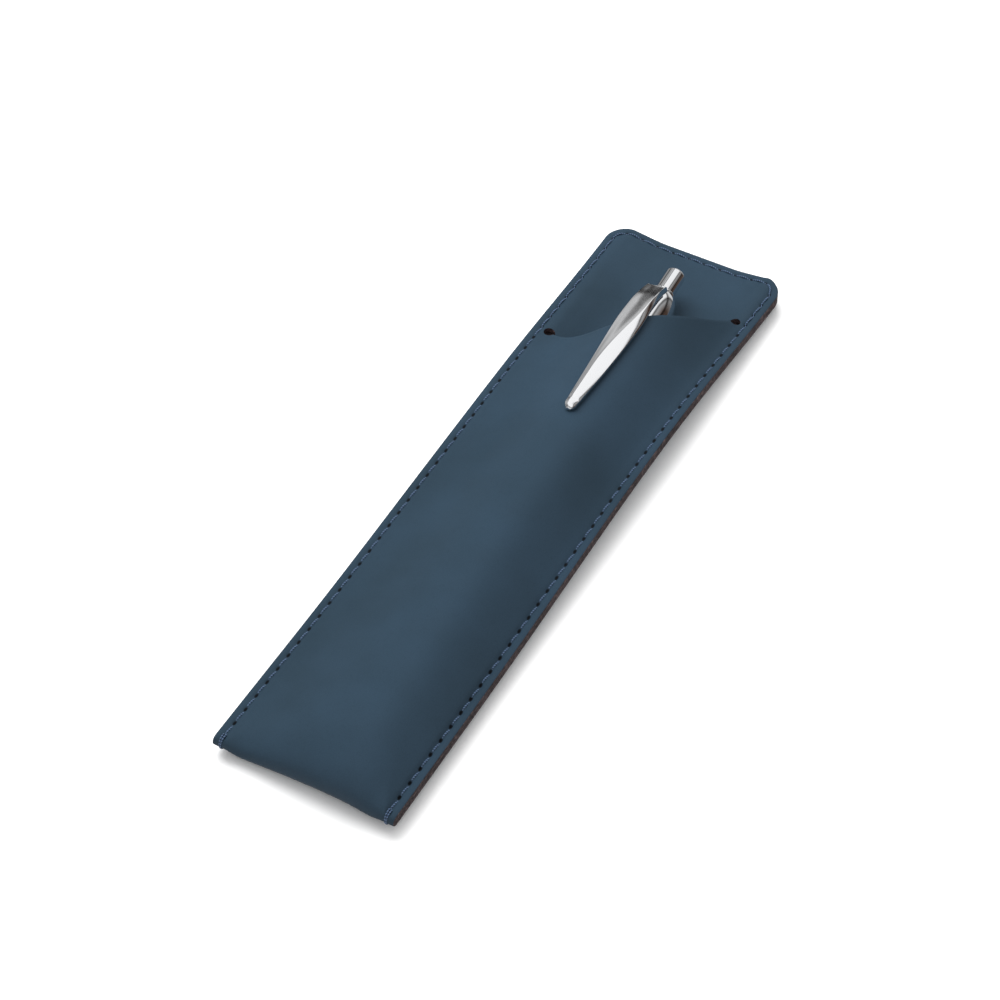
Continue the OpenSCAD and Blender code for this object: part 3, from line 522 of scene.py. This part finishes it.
# Material slots of the strip
OUTSIDE, CUT_EDGE, INSIDE = 0, 1, 2


def fold_half(x):
    """Inner radius of the fold."""
    return (front_z(x, FOLD_START, LEATHER_T + FOLD_RISE) - back_z(x, FOLD_START)) / 2


def fold_mid(x):
    """Height of the fold's middle."""
    return (front_z(x, FOLD_START, LEATHER_T + FOLD_RISE) + back_z(x, FOLD_START)) / 2


def fold_end(x):
    """Where the strip ends at the fold: it draws in a little towards the middle."""
    return -HALF_LEN + FOLD_DRAW * max(0.0, 1 - (x / seam_x(-HALF_LEN)) ** 2)


def fold_y(x):
    """Where the fold's round part starts."""
    return fold_end(x) + LEATHER_T + fold_half(x)


def front_face(x, y, t):
    """Outer or inner face of the front layer, rising from the fold's middle to its full height."""
    d = y - fold_end(x) - LEATHER_T + t
    run = t + ROLL_RUN * 2 * fold_half(x) / FOLD_RISE
    share = (1 - (1 - min(1.0, max(0.0, d / run))) ** ROLL_POWER) ** (1 / ROLL_POWER)
    mid = fold_mid(x)
    thick = t * slope(pocket_z, x, y)
    pull = press(x, y) * share if t else 0.0
    return mid + (pocket_z(x, y) + thick - mid) * share - pull


def fold_row(turn, side, t):
    """Points across the fold, turned from the layer's plane (0 is the end); side is 1 for the front half."""
    out = []
    for u in COLS:
        x = u * edge_x(-HALF_LEN)
        a = fold_half(x) + t
        y = fold_y(x) - a * math.cos(turn)
        pull = press(x, y) * math.sin(turn) if t else 0.0
        z = front_face(x, y, t) if side > 0 else fold_mid(x) - a * math.sin(turn) + pull
        out.append((x, y, z))
    return out


def pocket_row(j, t):
    """Points across the front layer, j rows up from the fold towards the slit."""
    out = []
    for u in COLS:
        y0 = fold_y(u * edge_x(-HALF_LEN))
        y = y0 + (slit_y(u) - SLIT_W / 2 - y0) * (j / POCKET_ROWS) ** ROW_POWER
        x = u * edge_x(y)
        out.append((x, y, front_face(x, y, t)))
    return out


def layer_row(f, y_of, outer, side, blend_from_fold=False, along=True):
    """Points across a layer whose inner face has height f, on its inner or its outer face."""
    out = []
    for u in COLS:
        y = y_of(u)
        x = u * edge_x(y)
        end, shift = 1.0, 0.0
        if blend_from_fold:
            y0 = fold_y(u * edge_x(-HALF_LEN))
            end = ease((y - y0) / FOLD_RUN)
            shift = (FOLD_START - y0) * (1 - end)
        thick = LEATHER_T + (LEATHER_T * slope(f, x, y, along) - LEATHER_T) * end
        pull = press(x, y) if outer else 0.0
        z = f(x, y + shift) + (side * (thick - pull) if outer else 0.0)
        out.append((x, y, z))
    return out


def corner_y(y0, n, rows, j):
    """Place of row j: n even rows from y0, then rows that follow the rounded corner."""
    y1 = HALF_LEN - CORNER_R
    if j <= n:
        return y0 + (y1 - y0) * j / n
    return y1 + CORNER_R * math.sin(math.pi / 2 * (j - n) / rows)


def strip_rows(outer):
    """Rows from the front layer's top edge, down to the fold and up the back layer."""
    rows = []
    t = LEATHER_T if outer else 0.0
    for j in range(UPPER_ROWS + CORNER_ROWS, -1, -1):
        def y_upper(u, j=j):
            gap = SLIT_W / 2 if abs(u) < SLIT_U - 0.001 else -SLIT_W / 2
            return corner_y(slit_y(u) + gap, UPPER_ROWS, CORNER_ROWS, j)
        rows.append(layer_row(upper_z, y_upper, outer, 1, along=False))
    for j in range(POCKET_ROWS, -1, -1):
        rows.append(pocket_row(j, t))
    for j in range(FOLD_ROWS - 1, -1, -1):
        rows.append(fold_row(math.pi / 2 * j / FOLD_ROWS, 1, t))
    for j in range(1, FOLD_ROWS):
        rows.append(fold_row(math.pi / 2 * j / FOLD_ROWS, -1, t))
    for j in range(BACK_ROWS + CORNER_ROWS + 1):
        def y_back(u, j=j):
            return corner_y(fold_y(u * edge_x(-HALF_LEN)), BACK_ROWS, CORNER_ROWS, j)
        rows.append(layer_row(back_z, y_back, outer, -1, blend_from_fold=True))
    return rows


def leather_strip():
    """The whole strip: both faces, the cut edges, the slit and the relief holes."""
    outer, inner = strip_rows(True), strip_rows(False)
    n, w = len(outer), len(COLS)
    cut = UPPER_ROWS + CORNER_ROWS
    ids = []
    for j in range(n):
        row = [j * w + i for i in range(w)]
        if j == cut:
            # Beyond the slit's ends this row is the same as the one below the slit
            row = [v if LEFT_COL < i < RIGHT_COL else v + w for i, v in enumerate(row)]
        ids.append(row)
    off = n * w
    under = [[v + off for v in row] for row in ids]
    faces, kinds = [], []

    def quad(a, b, c, d, kind):
        faces.append((a, b, c, d))
        kinds.append(kind)
    for j in range(n - 1):
        if j == cut:
            continue
        for i in range(w - 1):
            quad(ids[j][i], ids[j + 1][i], ids[j + 1][i + 1], ids[j][i + 1], OUTSIDE)
            quad(under[j][i], under[j][i + 1], under[j + 1][i + 1], under[j + 1][i], INSIDE)
        quad(ids[j][0], under[j][0], under[j + 1][0], ids[j + 1][0], CUT_EDGE)
        quad(ids[j][-1], ids[j + 1][-1], under[j + 1][-1], under[j][-1], CUT_EDGE)
    for i in range(w - 1):
        quad(ids[0][i], ids[0][i + 1], under[0][i + 1], under[0][i], CUT_EDGE)
        quad(ids[n - 1][i], under[n - 1][i], under[n - 1][i + 1], ids[n - 1][i + 1], CUT_EDGE)
    for i in range(LEFT_COL, RIGHT_COL):
        quad(ids[cut][i], under[cut][i], under[cut][i + 1], ids[cut][i + 1], CUT_EDGE)
        quad(ids[cut + 1][i], ids[cut + 1][i + 1], under[cut + 1][i + 1], under[cut + 1][i], CUT_EDGE)
    verts = [p for row in outer + inner for p in row]
    o = make("leather_strip", verts, faces, [LEATHER, EDGE, FLESH])
    for p, kind in zip(o.data.polygons, kinds):
        p.material_index = kind
    bm = bmesh.new()
    bm.from_mesh(o.data)
    loose = [v for v in bm.verts if not v.link_faces]
    bmesh.ops.delete(bm, geom=loose, context="VERTS")
    bmesh.ops.recalc_face_normals(bm, faces=bm.faces)
    bm.to_mesh(o.data)
    bm.free()
    cut_relief_holes(o)
    bevel_cut_edges(o)
    mark_seam(o)
    return o


def apply_modifiers(o):
    """The piece as its modifiers make it."""
    dg = bpy.context.evaluated_depsgraph_get()
    me = bpy.data.meshes.new_from_object(o.evaluated_get(dg))
    o.modifiers.clear()
    o.data = me


def cut_with(o, bm, material):
    """Cuts a closed shape out of a piece; the cut's walls get the material given."""
    bmesh.ops.recalc_face_normals(bm, faces=bm.faces)
    me = bpy.data.meshes.new("punch")
    bm.to_mesh(me)
    bm.free()
    me.materials.append(material)
    punch = linked("punch", me)
    mod = o.modifiers.new("punch", "BOOLEAN")
    mod.operation = "DIFFERENCE"
    mod.object = punch
    mod.solver = "EXACT"
    mod.material_mode = "TRANSFER"
    apply_modifiers(o)
    bpy.data.objects.remove(punch)


def cut_relief_holes(o):
    """The round holes punched through the front layer at both ends of the slit."""
    for side in (-1, 1):
        y = slit_y(side * SLIT_U)
        x = side * SLIT_U * edge_x(y)
        low = upper_z(x, y) - PLY_GAP / 4
        bm = bmesh.new()
        middle = Vector((x, y, low + PUNCH_LEN / 2))
        rod(bm, 48, RELIEF_D / 2, PUNCH_LEN, Matrix.Translation(middle * MM))
        cut_with(o, bm, EDGE)


def bevel_cut_edges(o):
    """Rounds the borders of the cut edges, as rubbing does."""
    mod = o.modifiers.new("bevel", "BEVEL")
    mod.width = EDGE_ROUND * MM
    mod.segments = 2
    mod.limit_method = "ANGLE"
    mod.angle_limit = LEATHER_CREASE * D2R
    mod.use_clamp_overlap = True
    apply_modifiers(o)
    for p in o.data.polygons:
        p.use_smooth = True


def mark_seam(o):
    """Each point's place along and beside the stitch line, for the painted shade of the needle holes."""
    at = o.data.attributes.new("seam", "FLOAT_VECTOR", "POINT")
    for v in o.data.vertices:
        k, d = seam_coord(v.co.x / MM, v.co.y / MM)
        at.data[v.index].vector = (k, d, 0)


# Stitching: a tube that swells between the holes and dives into each one
STITCH_STEPS, WRAP_STEPS = 12, 24


def surface(x, y, side):
    """Height of the leather's outer face, on the front (side 1) or on the back (side -1)."""
    if side < 0:
        return back_z(x, y) - LEATHER_T * slope(back_z, x, y)
    if y > slit_y(x / edge_x(y)):
        return upper_z(x, y) + LEATHER_T * slope(upper_z, x, y, along=False)
    return front_face(x, y, LEATHER_T)


def thread_points(side):
    """(point, radius) along the thread on one face, from fold to fold."""
    pts = []
    for k in range(STITCHES):
        for j in range(STITCH_STEPS):
            f = j / STITCH_STEPS
            s = (k + f) * STITCH_LEN
            x, y = seam_xy(s)
            x2, y2 = seam_xy(min(SEAM_TOTAL, s + 0.1))
            d = Vector((x2 - x, y2 - y, 0)).normalized() if s < SEAM_TOTAL - 0.2 else Vector((0, -1, 0))
            slant = STITCH_SLANT * (1 - 2 * f) if j else 0.0
            aside = slant + STITCH_WOBBLE * noise.noise(Vector((k * 1.7, f * 2.0, side * 5.0)))
            x, y = x - d.y * aside, y + d.x * aside
            rise = math.sin(math.pi * f)
            z = surface(x, y, side) + side * THREAD_D * (STITCH_RISE * rise - HOLE_DIVE)
            pts.append(((x, y, z), THREAD_D * (HOLE_THREAD_R + STITCH_SWELL * rise)))
    return pts


def tube_object(name, pts, material=THREAD, sides=10):
    """A closed tube through (point, radius); its map holds the length in mm and the turn from 0 to 1."""
    verts, faces, uvs, runs = [], [], [], []
    last = len(pts) - 1
    run = 0.0
    for i, (p, r) in enumerate(pts):
        before, after = Vector(pts[max(0, i - 1)][0]), Vector(pts[min(last, i + 1)][0])
        ahead = (after - before).normalized()
        side = ahead.cross(Vector((0, 0, 1))).normalized()
        up = side.cross(ahead)
        c = Vector(p)
        run += (c - before).length
        runs.append(run)
        for k in range(sides):
            a = 2 * math.pi * k / sides
            verts.append(tuple(c + r * (math.cos(a) * side + math.sin(a) * up)))
    for i in range(last):
        near, far = i * sides, (i + 1) * sides
        for k in range(sides):
            k2 = (k + 1) % sides
            faces.append((near + k, far + k, far + k2, near + k2))
            uvs += [(runs[i], k / sides), (runs[i + 1], k / sides),
                    (runs[i + 1], k2 / sides), (runs[i], k2 / sides)]
    faces.append(tuple(range(sides)))
    faces.append(tuple(last * sides + k for k in reversed(range(sides))))
    uvs += [(0.0, 0.0)] * (2 * sides)
    o = make(name, verts, faces, [material])
    layer = o.data.uv_layers.new(name="thread")
    for i, uv in enumerate(uvs):
        layer.data[i].uv = uv
    return o


def fold_wraps():
    """At both ends of the seam the thread goes twice round the fold before it is tied off."""
    for side in (-1, 1):
        pts = []
        for k in range(2 * WRAP_STEPS + 1):
            # From the front to the back, and beside that to the front again
            step = min(k, 2 * WRAP_STEPS - k)
            a = math.pi * WRAP_TURN * (1 - 2 * step / WRAP_STEPS)
            x = side * (seam_x(-HALF_LEN) + WRAP_OUT - WRAP_SPREAD * k / (2 * WRAP_STEPS))
            r = fold_half(x) + LEATHER_T + WRAP_LIFT
            over = abs(a) - math.pi / 2
            y = fold_y(x) + (-r * math.cos(a) if over < 0 else WRAP_RUN * over)
            z = fold_mid(x) + r * max(-1.0, min(1.0, math.sin(a) * 1.02))
            pts.append(((x, y, z), THREAD_D * WRAP_R))
        o = tube_object("fold_wrap_left" if side < 0 else "fold_wrap_right", pts, sides=8)
        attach(o, "sleeve")


# Pen pieces are turned about the pen's own axis, in this many steps
TURN_STEPS, BARREL_TURN_STEPS = 96, 128


def pen_frame():
    """The tip of the nose, and the directions across, up from and along the pen."""
    cy, sy = math.cos(PEN_YAW * D2R), math.sin(PEN_YAW * D2R)
    ct, st = math.cos(PEN_TILT * D2R), math.sin(PEN_TILT * D2R)
    along = Vector((-sy * ct, cy * ct, st))
    across = Vector((cy, sy, 0))
    up = across.cross(along)
    nose = Vector((PEN_SIDE, PEN_TOP_Y, PEN_TOP_Z)) - PEN_LEN * along
    return nose, across, up, along


NOSE, ACROSS, UP, ALONG = pen_frame()


def pen_point(x, h, q):
    """A point of the pen: x across it, h above its axis, q along it from the nose."""
    return tuple(NOSE + x * ACROSS + h * UP + q * ALONG)


def turned(name, outline, body, segments=TURN_STEPS):
    """A plated turned piece: the outline, in (radius, distance from the nose), spun round the pen."""
    bm = bmesh.new()
    ring = [bm.verts.new(Vector(pen_point(r, 0, q)) * MM) for r, q in outline]
    edges = [bm.edges.new((a, b)) for a, b in zip(ring, ring[1:])]
    if outline[0][0] > 0:
        edges.append(bm.edges.new((ring[-1], ring[0])))
    bmesh.ops.spin(bm, geom=ring + edges, cent=NOSE * MM, axis=ALONG, angle=2 * math.pi,
                   steps=segments, use_merge=True)
    bmesh.ops.remove_doubles(bm, verts=bm.verts, dist=1e-6)
    o = solid(name, bm, CHROME, TURNED_CREASE)
    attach(o, body)
    return o


def arc(x, q, wide, high, steps, quarter):
    """Outline points on an ellipse about (x, q), at the steps given of a quarter turn."""
    turns = [math.pi / 2 * k / quarter for k in steps]
    return [(x + wide * math.cos(a), q + high * math.sin(a)) for a in turns]


BARREL_TOP = PEN_LEN - BUTTON_OUT - COLLAR_H
SHOULDER_FROM = BARREL_TOP - SHOULDER_LEN


def shoulder_side(q):
    """Radius of the rounded shoulder at the top of the barrel."""
    a = math.asin(min(1.0, max(0.0, (q - SHOULDER_FROM) / SHOULDER_LEN)))
    sr = SHOULDER_D / 2
    return sr + (barrel_r(SHOULDER_FROM) - sr) * math.cos(a)


def button_piece():
    """Push button with a rounded edge and a slightly domed top."""
    r, edge, low = BUTTON_D / 2, BUTTON_ROUND, BARREL_TOP - BUTTON_ROOT
    pts = [(0, low), (r, low), (r, PEN_LEN - 2 * edge)]
    pts += arc(r - edge, PEN_LEN - 2 * edge, edge, edge, range(1, 13), 12)
    pts += arc(0, PEN_LEN - edge, r - edge, edge, range(1, 10), 10)
    pts += [(0, PEN_LEN)]
    o = turned("button_cap", pts, "button")
    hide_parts("push_button")


def collar_piece():
    """Collar pressed into the barrel's top, with a thin neck that guides the button."""
    r, edge, bore = COLLAR_D / 2, COLLAR_ROUND, BUTTON_D / 2 + SLIDE_GAP
    low, top, foot = BARREL_TOP, BARREL_TOP + COLLAR_H, BARREL_TOP - COLLAR_NECK_LEN
    neck = bore + COLLAR_NECK_T
    pts = [(bore, foot), (neck, foot), (neck, low), (r - edge / 2, low), (r, low + edge / 2)]
    pts += arc(r - edge, top - edge, edge, edge, range(7), 6)
    pts += [(bore + 0.12, top), (bore, top - 0.12)]
    o = turned("collar_ring", pts, "pen")
    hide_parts("top_collar")


# Clip: a bar with two long facets that cross over
CLIP_TOP = PEN_LEN - CLIP_FROM_TOP
FOOT_Q = CLIP_TOP - FOOT_BACK
FOOT_H = shoulder_side(FOOT_Q)
CLIP_OVER = BARREL_D / 2 + PEN_ROOM + LEATHER_T + CLIP_ROOM
CLIP_RISE = CLIP_OVER - FOOT_H - SLIDE_GAP


def clip_half(f):
    """Half the clip's width: wider from the root on, then tapered, with a rounded tip."""
    body = CLIP_ROOT_W / 2 + (CLIP_W - CLIP_ROOT_W) / 2 * ease(f / 0.4)
    taper = (CLIP_W - CLIP_TIP_W) / 2 * max(0.0, (f - 0.3) / 0.7) ** 1.35
    past = max(0.0, (f - 0.975) / 0.025)
    return body - taper - CLIP_TIP_W / 2 * (1 - math.sqrt(max(0.2, 1 - past ** 2)))


def clip_under(f):
    """Height of the clip's underside: up from the shoulder, then arched over the leather."""
    return CLIP_OVER + CLIP_ARCH * math.sin(math.pi * min(1.0, f)) - CLIP_RISE * max(0.0, 1 - f / 0.2) ** 1.6


def clip_section(f):
    """Points round the bar at one place: underside, right side, top facets, left side."""
    w, h = clip_half(f), clip_under(f)
    # Both ends are rounded off
    end = math.sqrt(max(0.12, 1 - max(0.0, (f - 0.965) / 0.035) ** 2))
    start = 0.75 + 0.25 * math.sqrt(min(1.0, f / 0.02))
    # A small bead at the tip, behind a shallow waist
    bead = 1 - 0.12 * math.exp(-((f - 0.94) / 0.01) ** 2)
    t = CLIP_EDGE_T * end * start * bead
    ridge = CLIP_RIDGE_T * end * (1 - 0.35 * f) * start * bead
    # The line where the facets meet runs from the right at the root to the left at the tip
    cross = w * (0.86 - 1.3 * ease((f - 0.02) / 0.72))
    top = h + t
    pts = [(-w * 0.8, h), (w * 0.8, h), (w * 0.95, h + 0.12 * end), (w, h + 0.35 * t), (w, top - 0.18 * end)]
    # Right facet: gently convex up to the crossing line
    right = w * 0.97
    pts.append((right, top - 0.04))
    for k in range(1, 7):
        g = k / 7
        pts.append((right + (cross + 0.1 - right) * g, top + ridge * (1 - (1 - g) ** 1.5)))
    pts.append((cross + 0.06, top + ridge))
    # A step down along the crossing line, then a hollow ribbon that rises again to its outer edge
    hollow = cross - 0.1
    pts.append((hollow, top + ridge * 0.5))
    for k in range(1, 8):
        g = k / 8
        pts.append((hollow + (-w * 0.94 - hollow) * g,
                    top + ridge * (0.5 * (1 - g) ** 1.3 + 0.2 * math.sin(math.pi * g) * g)))
    pts += [(-w * 0.97, top + 0.03), (-w, top - 0.16 * end), (-w, h + 0.35 * t), (-w * 0.95, h + 0.12 * end)]
    return pts


def foot_place():
    """Where the clip's foot lies, its length across the pen."""
    turn = Matrix((ACROSS, UP, ALONG)).transposed().to_4x4() @ Matrix.Rotation(math.pi / 2, 4, "Y")
    return Matrix.Translation(Vector(pen_point(0, FOOT_H, FOOT_Q)) * MM) @ turn


def clip_piece():
    """Cast clip: its sections joined one to the next, and the round foot in the barrel's groove."""
    rings, dense = 180, 0.92
    bm = bmesh.new()
    last = None
    for k in range(rings + 1):
        f = k / rings
        if f > dense:
            f = dense + (1 - dense) * math.sin((f - dense) / (1 - dense) * math.pi / 2)
        side = CLIP_BEND * (0.25 - f ** 3)
        ring = [bm.verts.new(Vector(pen_point(x + side, h, CLIP_TOP - CLIP_LEN * f)) * MM)
                for x, h in clip_section(f)]
        edges = [bm.edges.new((a, b)) for a, b in zip(ring, ring[1:] + ring[:1])]
        if last:
            bmesh.ops.bridge_loops(bm, edges=last + edges)
        else:
            bm.faces.new(ring)
        last = edges
    bm.faces.new(ring)
    rod(bm, 32, FOOT_R, FOOT_W, foot_place())
    o = solid("clip_bar", bm, CLIP_METAL, CLIP_CREASE)
    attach(o, "clip")
    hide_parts("clip")


def spring_piece():
    """Return spring of drawn wire: its lower end on the seat, its upper end at the refill."""
    half = SPRING_WIRE / 2
    low, high = SPRING_SEAT + half + PRESS_GAP, POINT_LEN - half - PRESS_GAP
    steps = 32
    pts = []
    for i in range(SPRING_TURNS * steps + 1):
        a = 2 * math.pi * i / steps
        q = low + (high - low) * i / (SPRING_TURNS * steps)
        pts.append((pen_point(SPRING_R * math.cos(a), SPRING_R * math.sin(a), q), half))
    o = tube_object("wound_spring", pts, STEEL)
    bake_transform(o)
    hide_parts("return_spring")


def barrel_side(start, end, steps=40):
    """The bowed outside of the barrel between two places."""
    places = [start + (end - start) * k / steps for k in range(steps + 1)]
    return [(barrel_r(q), q) for q in places]


def nose_piece():
    """Nose, with its spigot and the room for the spring inside it."""
    r, hole, lip, top = NOSE_D / 2, NOSE_HOLE_D / 2, 0.2, NOSE_LEN + SPIGOT_LEN
    pts = [(hole, 0), (r - lip, 0), (r - 0.3 * lip, 0.3 * lip), (r, lip)]
    for k in range(1, 31):
        f = (k / 30) ** 1.4
        pts.append((r + (barrel_r(NOSE_LEN) - r) * f ** 0.62, lip + (NOSE_LEN - lip) * f))
    pts += [(SPIGOT_R, NOSE_LEN), (SPIGOT_R, top), (SPRING_ROOM_R, top), (SPRING_ROOM_R, SPRING_SEAT),
            (SEAT_HOLE_R, SPRING_SEAT), (hole, NOSE_HOLE_LEN)]
    o = turned("nose_tip", pts, "pen", BARREL_TURN_STEPS)
    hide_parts("nose_cone")


def lower_barrel_piece():
    """Lower barrel, with a socket for the nose's spigot and a wider bore for the coupler."""
    bore, socket, low = BORE_D / 2, SPIGOT_R + SLIDE_GAP / 2, NOSE_LEN + PRESS_GAP
    pts = barrel_side(low, RING_AT)
    pts += [(bore, RING_AT), (bore, RING_AT - COUPLER_ROOM),
            (SPIGOT_R + SLIDE_GAP, RING_AT - COUPLER_ROOM - 1),
            (socket, NOSE_LEN + SPIGOT_LEN + 0.2), (socket, low)]
    o = turned("barrel_lower", pts, "pen", BARREL_TURN_STEPS)
    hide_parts("lower_barrel")


def ring_piece():
    """Trim ring between the barrel's halves, with rounded edges."""
    edge, low, top = RING_ROUND, RING_AT, RING_AT + RING_LEN
    flat = barrel_r(RING_AT) + RING_PROUD - edge
    pts = [(BORE_D / 2, low), (flat, low)]
    pts += arc(flat, low + edge, edge, edge, range(-5, 1), 6)
    pts += arc(flat, top - edge, edge, edge, range(7), 6)
    pts += [(BORE_D / 2, top)]
    o = turned("barrel_ring", pts, "pen", BARREL_TURN_STEPS)
    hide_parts("trim_ring")


def upper_barrel_piece():
    """Upper barrel with its rounded shoulder, and the groove that the clip's foot rocks in."""
    low, bore = RING_AT + RING_LEN, BORE_D / 2
    neck = BUTTON_D / 2 + SLIDE_GAP + COLLAR_NECK_T + SLIDE_GAP / 2
    pts = barrel_side(low, SHOULDER_FROM)
    for k in range(1, 25):
        q = SHOULDER_FROM + SHOULDER_LEN * math.sin(math.pi / 2 * k / 24)
        pts.append((shoulder_side(q), q))
    pts += [(neck, BARREL_TOP), (neck, BARREL_TOP - NECK_DEPTH), (bore, BARREL_TOP - NECK_DEPTH - 0.5),
            (bore, low)]
    o = turned("barrel_upper", pts, "pen", BARREL_TURN_STEPS)
    bm = bmesh.new()
    rod(bm, 48, FOOT_R + SLIDE_GAP, FOOT_W + 2 * SLIDE_GAP, foot_place())
    cut_with(o, bm, CHROME)
    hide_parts("upper_barrel")


def paint(node, material):
    """Gives a piece of the fixed frame that keeps its own form one of the materials above."""
    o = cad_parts[node]
    if not o.material_slots:
        o.data.materials.append(material)
    for s in o.material_slots:
        s.material = material


strip = leather_strip()
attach(strip, "sleeve")
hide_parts("front_panel", "back_panel")
front_stitches = tube_object("front_stitching", thread_points(1))
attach(front_stitches, "sleeve")
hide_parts("needle_thread")
back_stitches = tube_object("back_stitching", thread_points(-1))
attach(back_stitches, "sleeve")
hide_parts("bobbin_thread")
fold_wraps()
button_piece()
collar_piece()
clip_piece()
spring_piece()
nose_piece()
lower_barrel_piece()
ring_piece()
upper_barrel_piece()
paint("barrel_coupler", BRASS)
paint("refill_point", BRASS)
for node in ("cam_plunger", "cam_sleeve", "index_rotor"):
    paint(node, CREAM)
paint("refill_tube", TUBE)
paint("ink_column", INK)
paint("writing_ball", STEEL)


# Floor, light and camera
FLOOR_HALF, FLOOR_LOW, FLOOR_TONE = 8.0, -0.02 * MM, 0.9
KEY_AT, KEY_SIZE, KEY_POWER, ROOM_POWER = (-0.38, 0.30, 0.6), 0.7, 9.0, 0.88
CAM_RISE, CAM_TURN, CAM_FAR, CAM_TARGET = 46.93 * D2R, 29.14 * D2R, 0.5525, Vector((-0.00404, 0, 0))


def floor_piece():
    """White paper under the part: pure white to the camera, except where the part shades it."""
    corners = [(x * FLOOR_HALF, y * FLOOR_HALF, FLOOR_LOW) for x, y in ((-1, -1), (1, -1), (1, 1), (-1, 1))]
    me = bpy.data.meshes.new("floor")
    me.from_pydata(corners, [], [(0, 1, 2, 3)])
    paper = new_material("paper_floor", Roughness=0.95, Base_Color=grey(FLOOR_TONE), Specular_IOR_Level=0.0)
    me.materials.append(paper[0])
    o = linked("floor", me)
    # The plating mirrors the room instead of the paper
    o.visible_glossy = False


def key_light():
    """A large soft window beyond the sleeve, to its upper left."""
    light = bpy.data.lights.new("key", "AREA")
    light.energy = KEY_POWER
    light.size = KEY_SIZE
    o = linked("key", light)
    o.location = KEY_AT
    o.rotation_euler = (-Vector(KEY_AT)).to_track_quat("-Z", "Y").to_euler()
    o.visible_glossy = False


def studio_world():
    """Even light on the floor and the leather, and a darker room with bright panels for the plating."""
    world = bpy.data.worlds.new("studio")
    bpy.context.scene.world = world
    world.use_nodes = True
    t = world.node_tree
    bg = t.nodes["Background"]
    co = add(t, "ShaderNodeTexCoord").outputs["Generated"]
    sep = add(t, "ShaderNodeSeparateXYZ", {"Vector": co})
    # From the horizon up: pale furniture, a dark wall and a bright ceiling
    level = add(t, "ShaderNodeValToRGB", {"Fac": sep.outputs["Z"]},
                [(0.0, grey(0.7)), (0.1, grey(0.6)), (0.15, grey(0.15)), (0.24, grey(0.15)),
                 (0.3, grey(0.95)), (1.0, grey(1.0))]).outputs["Color"]
    # Bands from left to right, which the plating shows as long streaks
    share = add(t, "ShaderNodeMath", {0: sep.outputs["X"], 1: 0.5}, operation="MULTIPLY").outputs[0]
    across = add(t, "ShaderNodeMath", {0: share, 1: 0.5}, operation="ADD").outputs[0]
    bands = add(t, "ShaderNodeValToRGB", {"Fac": across},
                [(0.02, grey(1.1)), (0.05, grey(0.5)), (0.2, grey(0.42)), (0.28, grey(0.75)),
                 (0.3, grey(0.07)), (0.315, grey(0.1)), (0.34, grey(1.25)), (0.66, grey(1.2)),
                 (0.7, grey(0.08)), (0.75, grey(0.45)), (0.84, srgb("#5d4a40")),
                 (1.0, srgb("#2e2623"))]).outputs["Color"]
    room = add(t, "ShaderNodeMix", {MIX_FAC: 1.0, MIX_A: level, MIX_B: bands}, data_type="RGBA",
               blend_type="MULTIPLY").outputs[MIX_OUT]
    glossy = add(t, "ShaderNodeLightPath").outputs["Is Glossy Ray"]
    seen = add(t, "ShaderNodeMix", {MIX_FAC: glossy, MIX_A: grey(1.0), MIX_B: room},
               data_type="RGBA").outputs[MIX_OUT]
    t.links.new(seen, bg.inputs["Color"])
    bg.inputs["Strength"].default_value = ROOM_POWER


def camera():
    """The photo's view: from beyond the fold, on the right, looking down on the part."""
    data = bpy.data.cameras.new("camera")
    data.sensor_width = 36.0
    data.lens = 101.75
    data.clip_start = 0.01
    cam = linked("camera", data)
    ahead = Vector((-math.sin(CAM_TURN), math.cos(CAM_TURN), 0))
    back_off = -ahead * math.cos(CAM_RISE) + Vector((0, 0, 1)) * math.sin(CAM_RISE)
    cam.location = CAM_TARGET + CAM_FAR * back_off
    cam.rotation_euler = (CAM_TARGET - cam.location).to_track_quat("-Z", "Y").to_euler()
    bpy.context.scene.camera = cam


floor_piece()
key_light()
studio_world()
camera()
bpy.context.scene.view_settings.view_transform = "Standard"
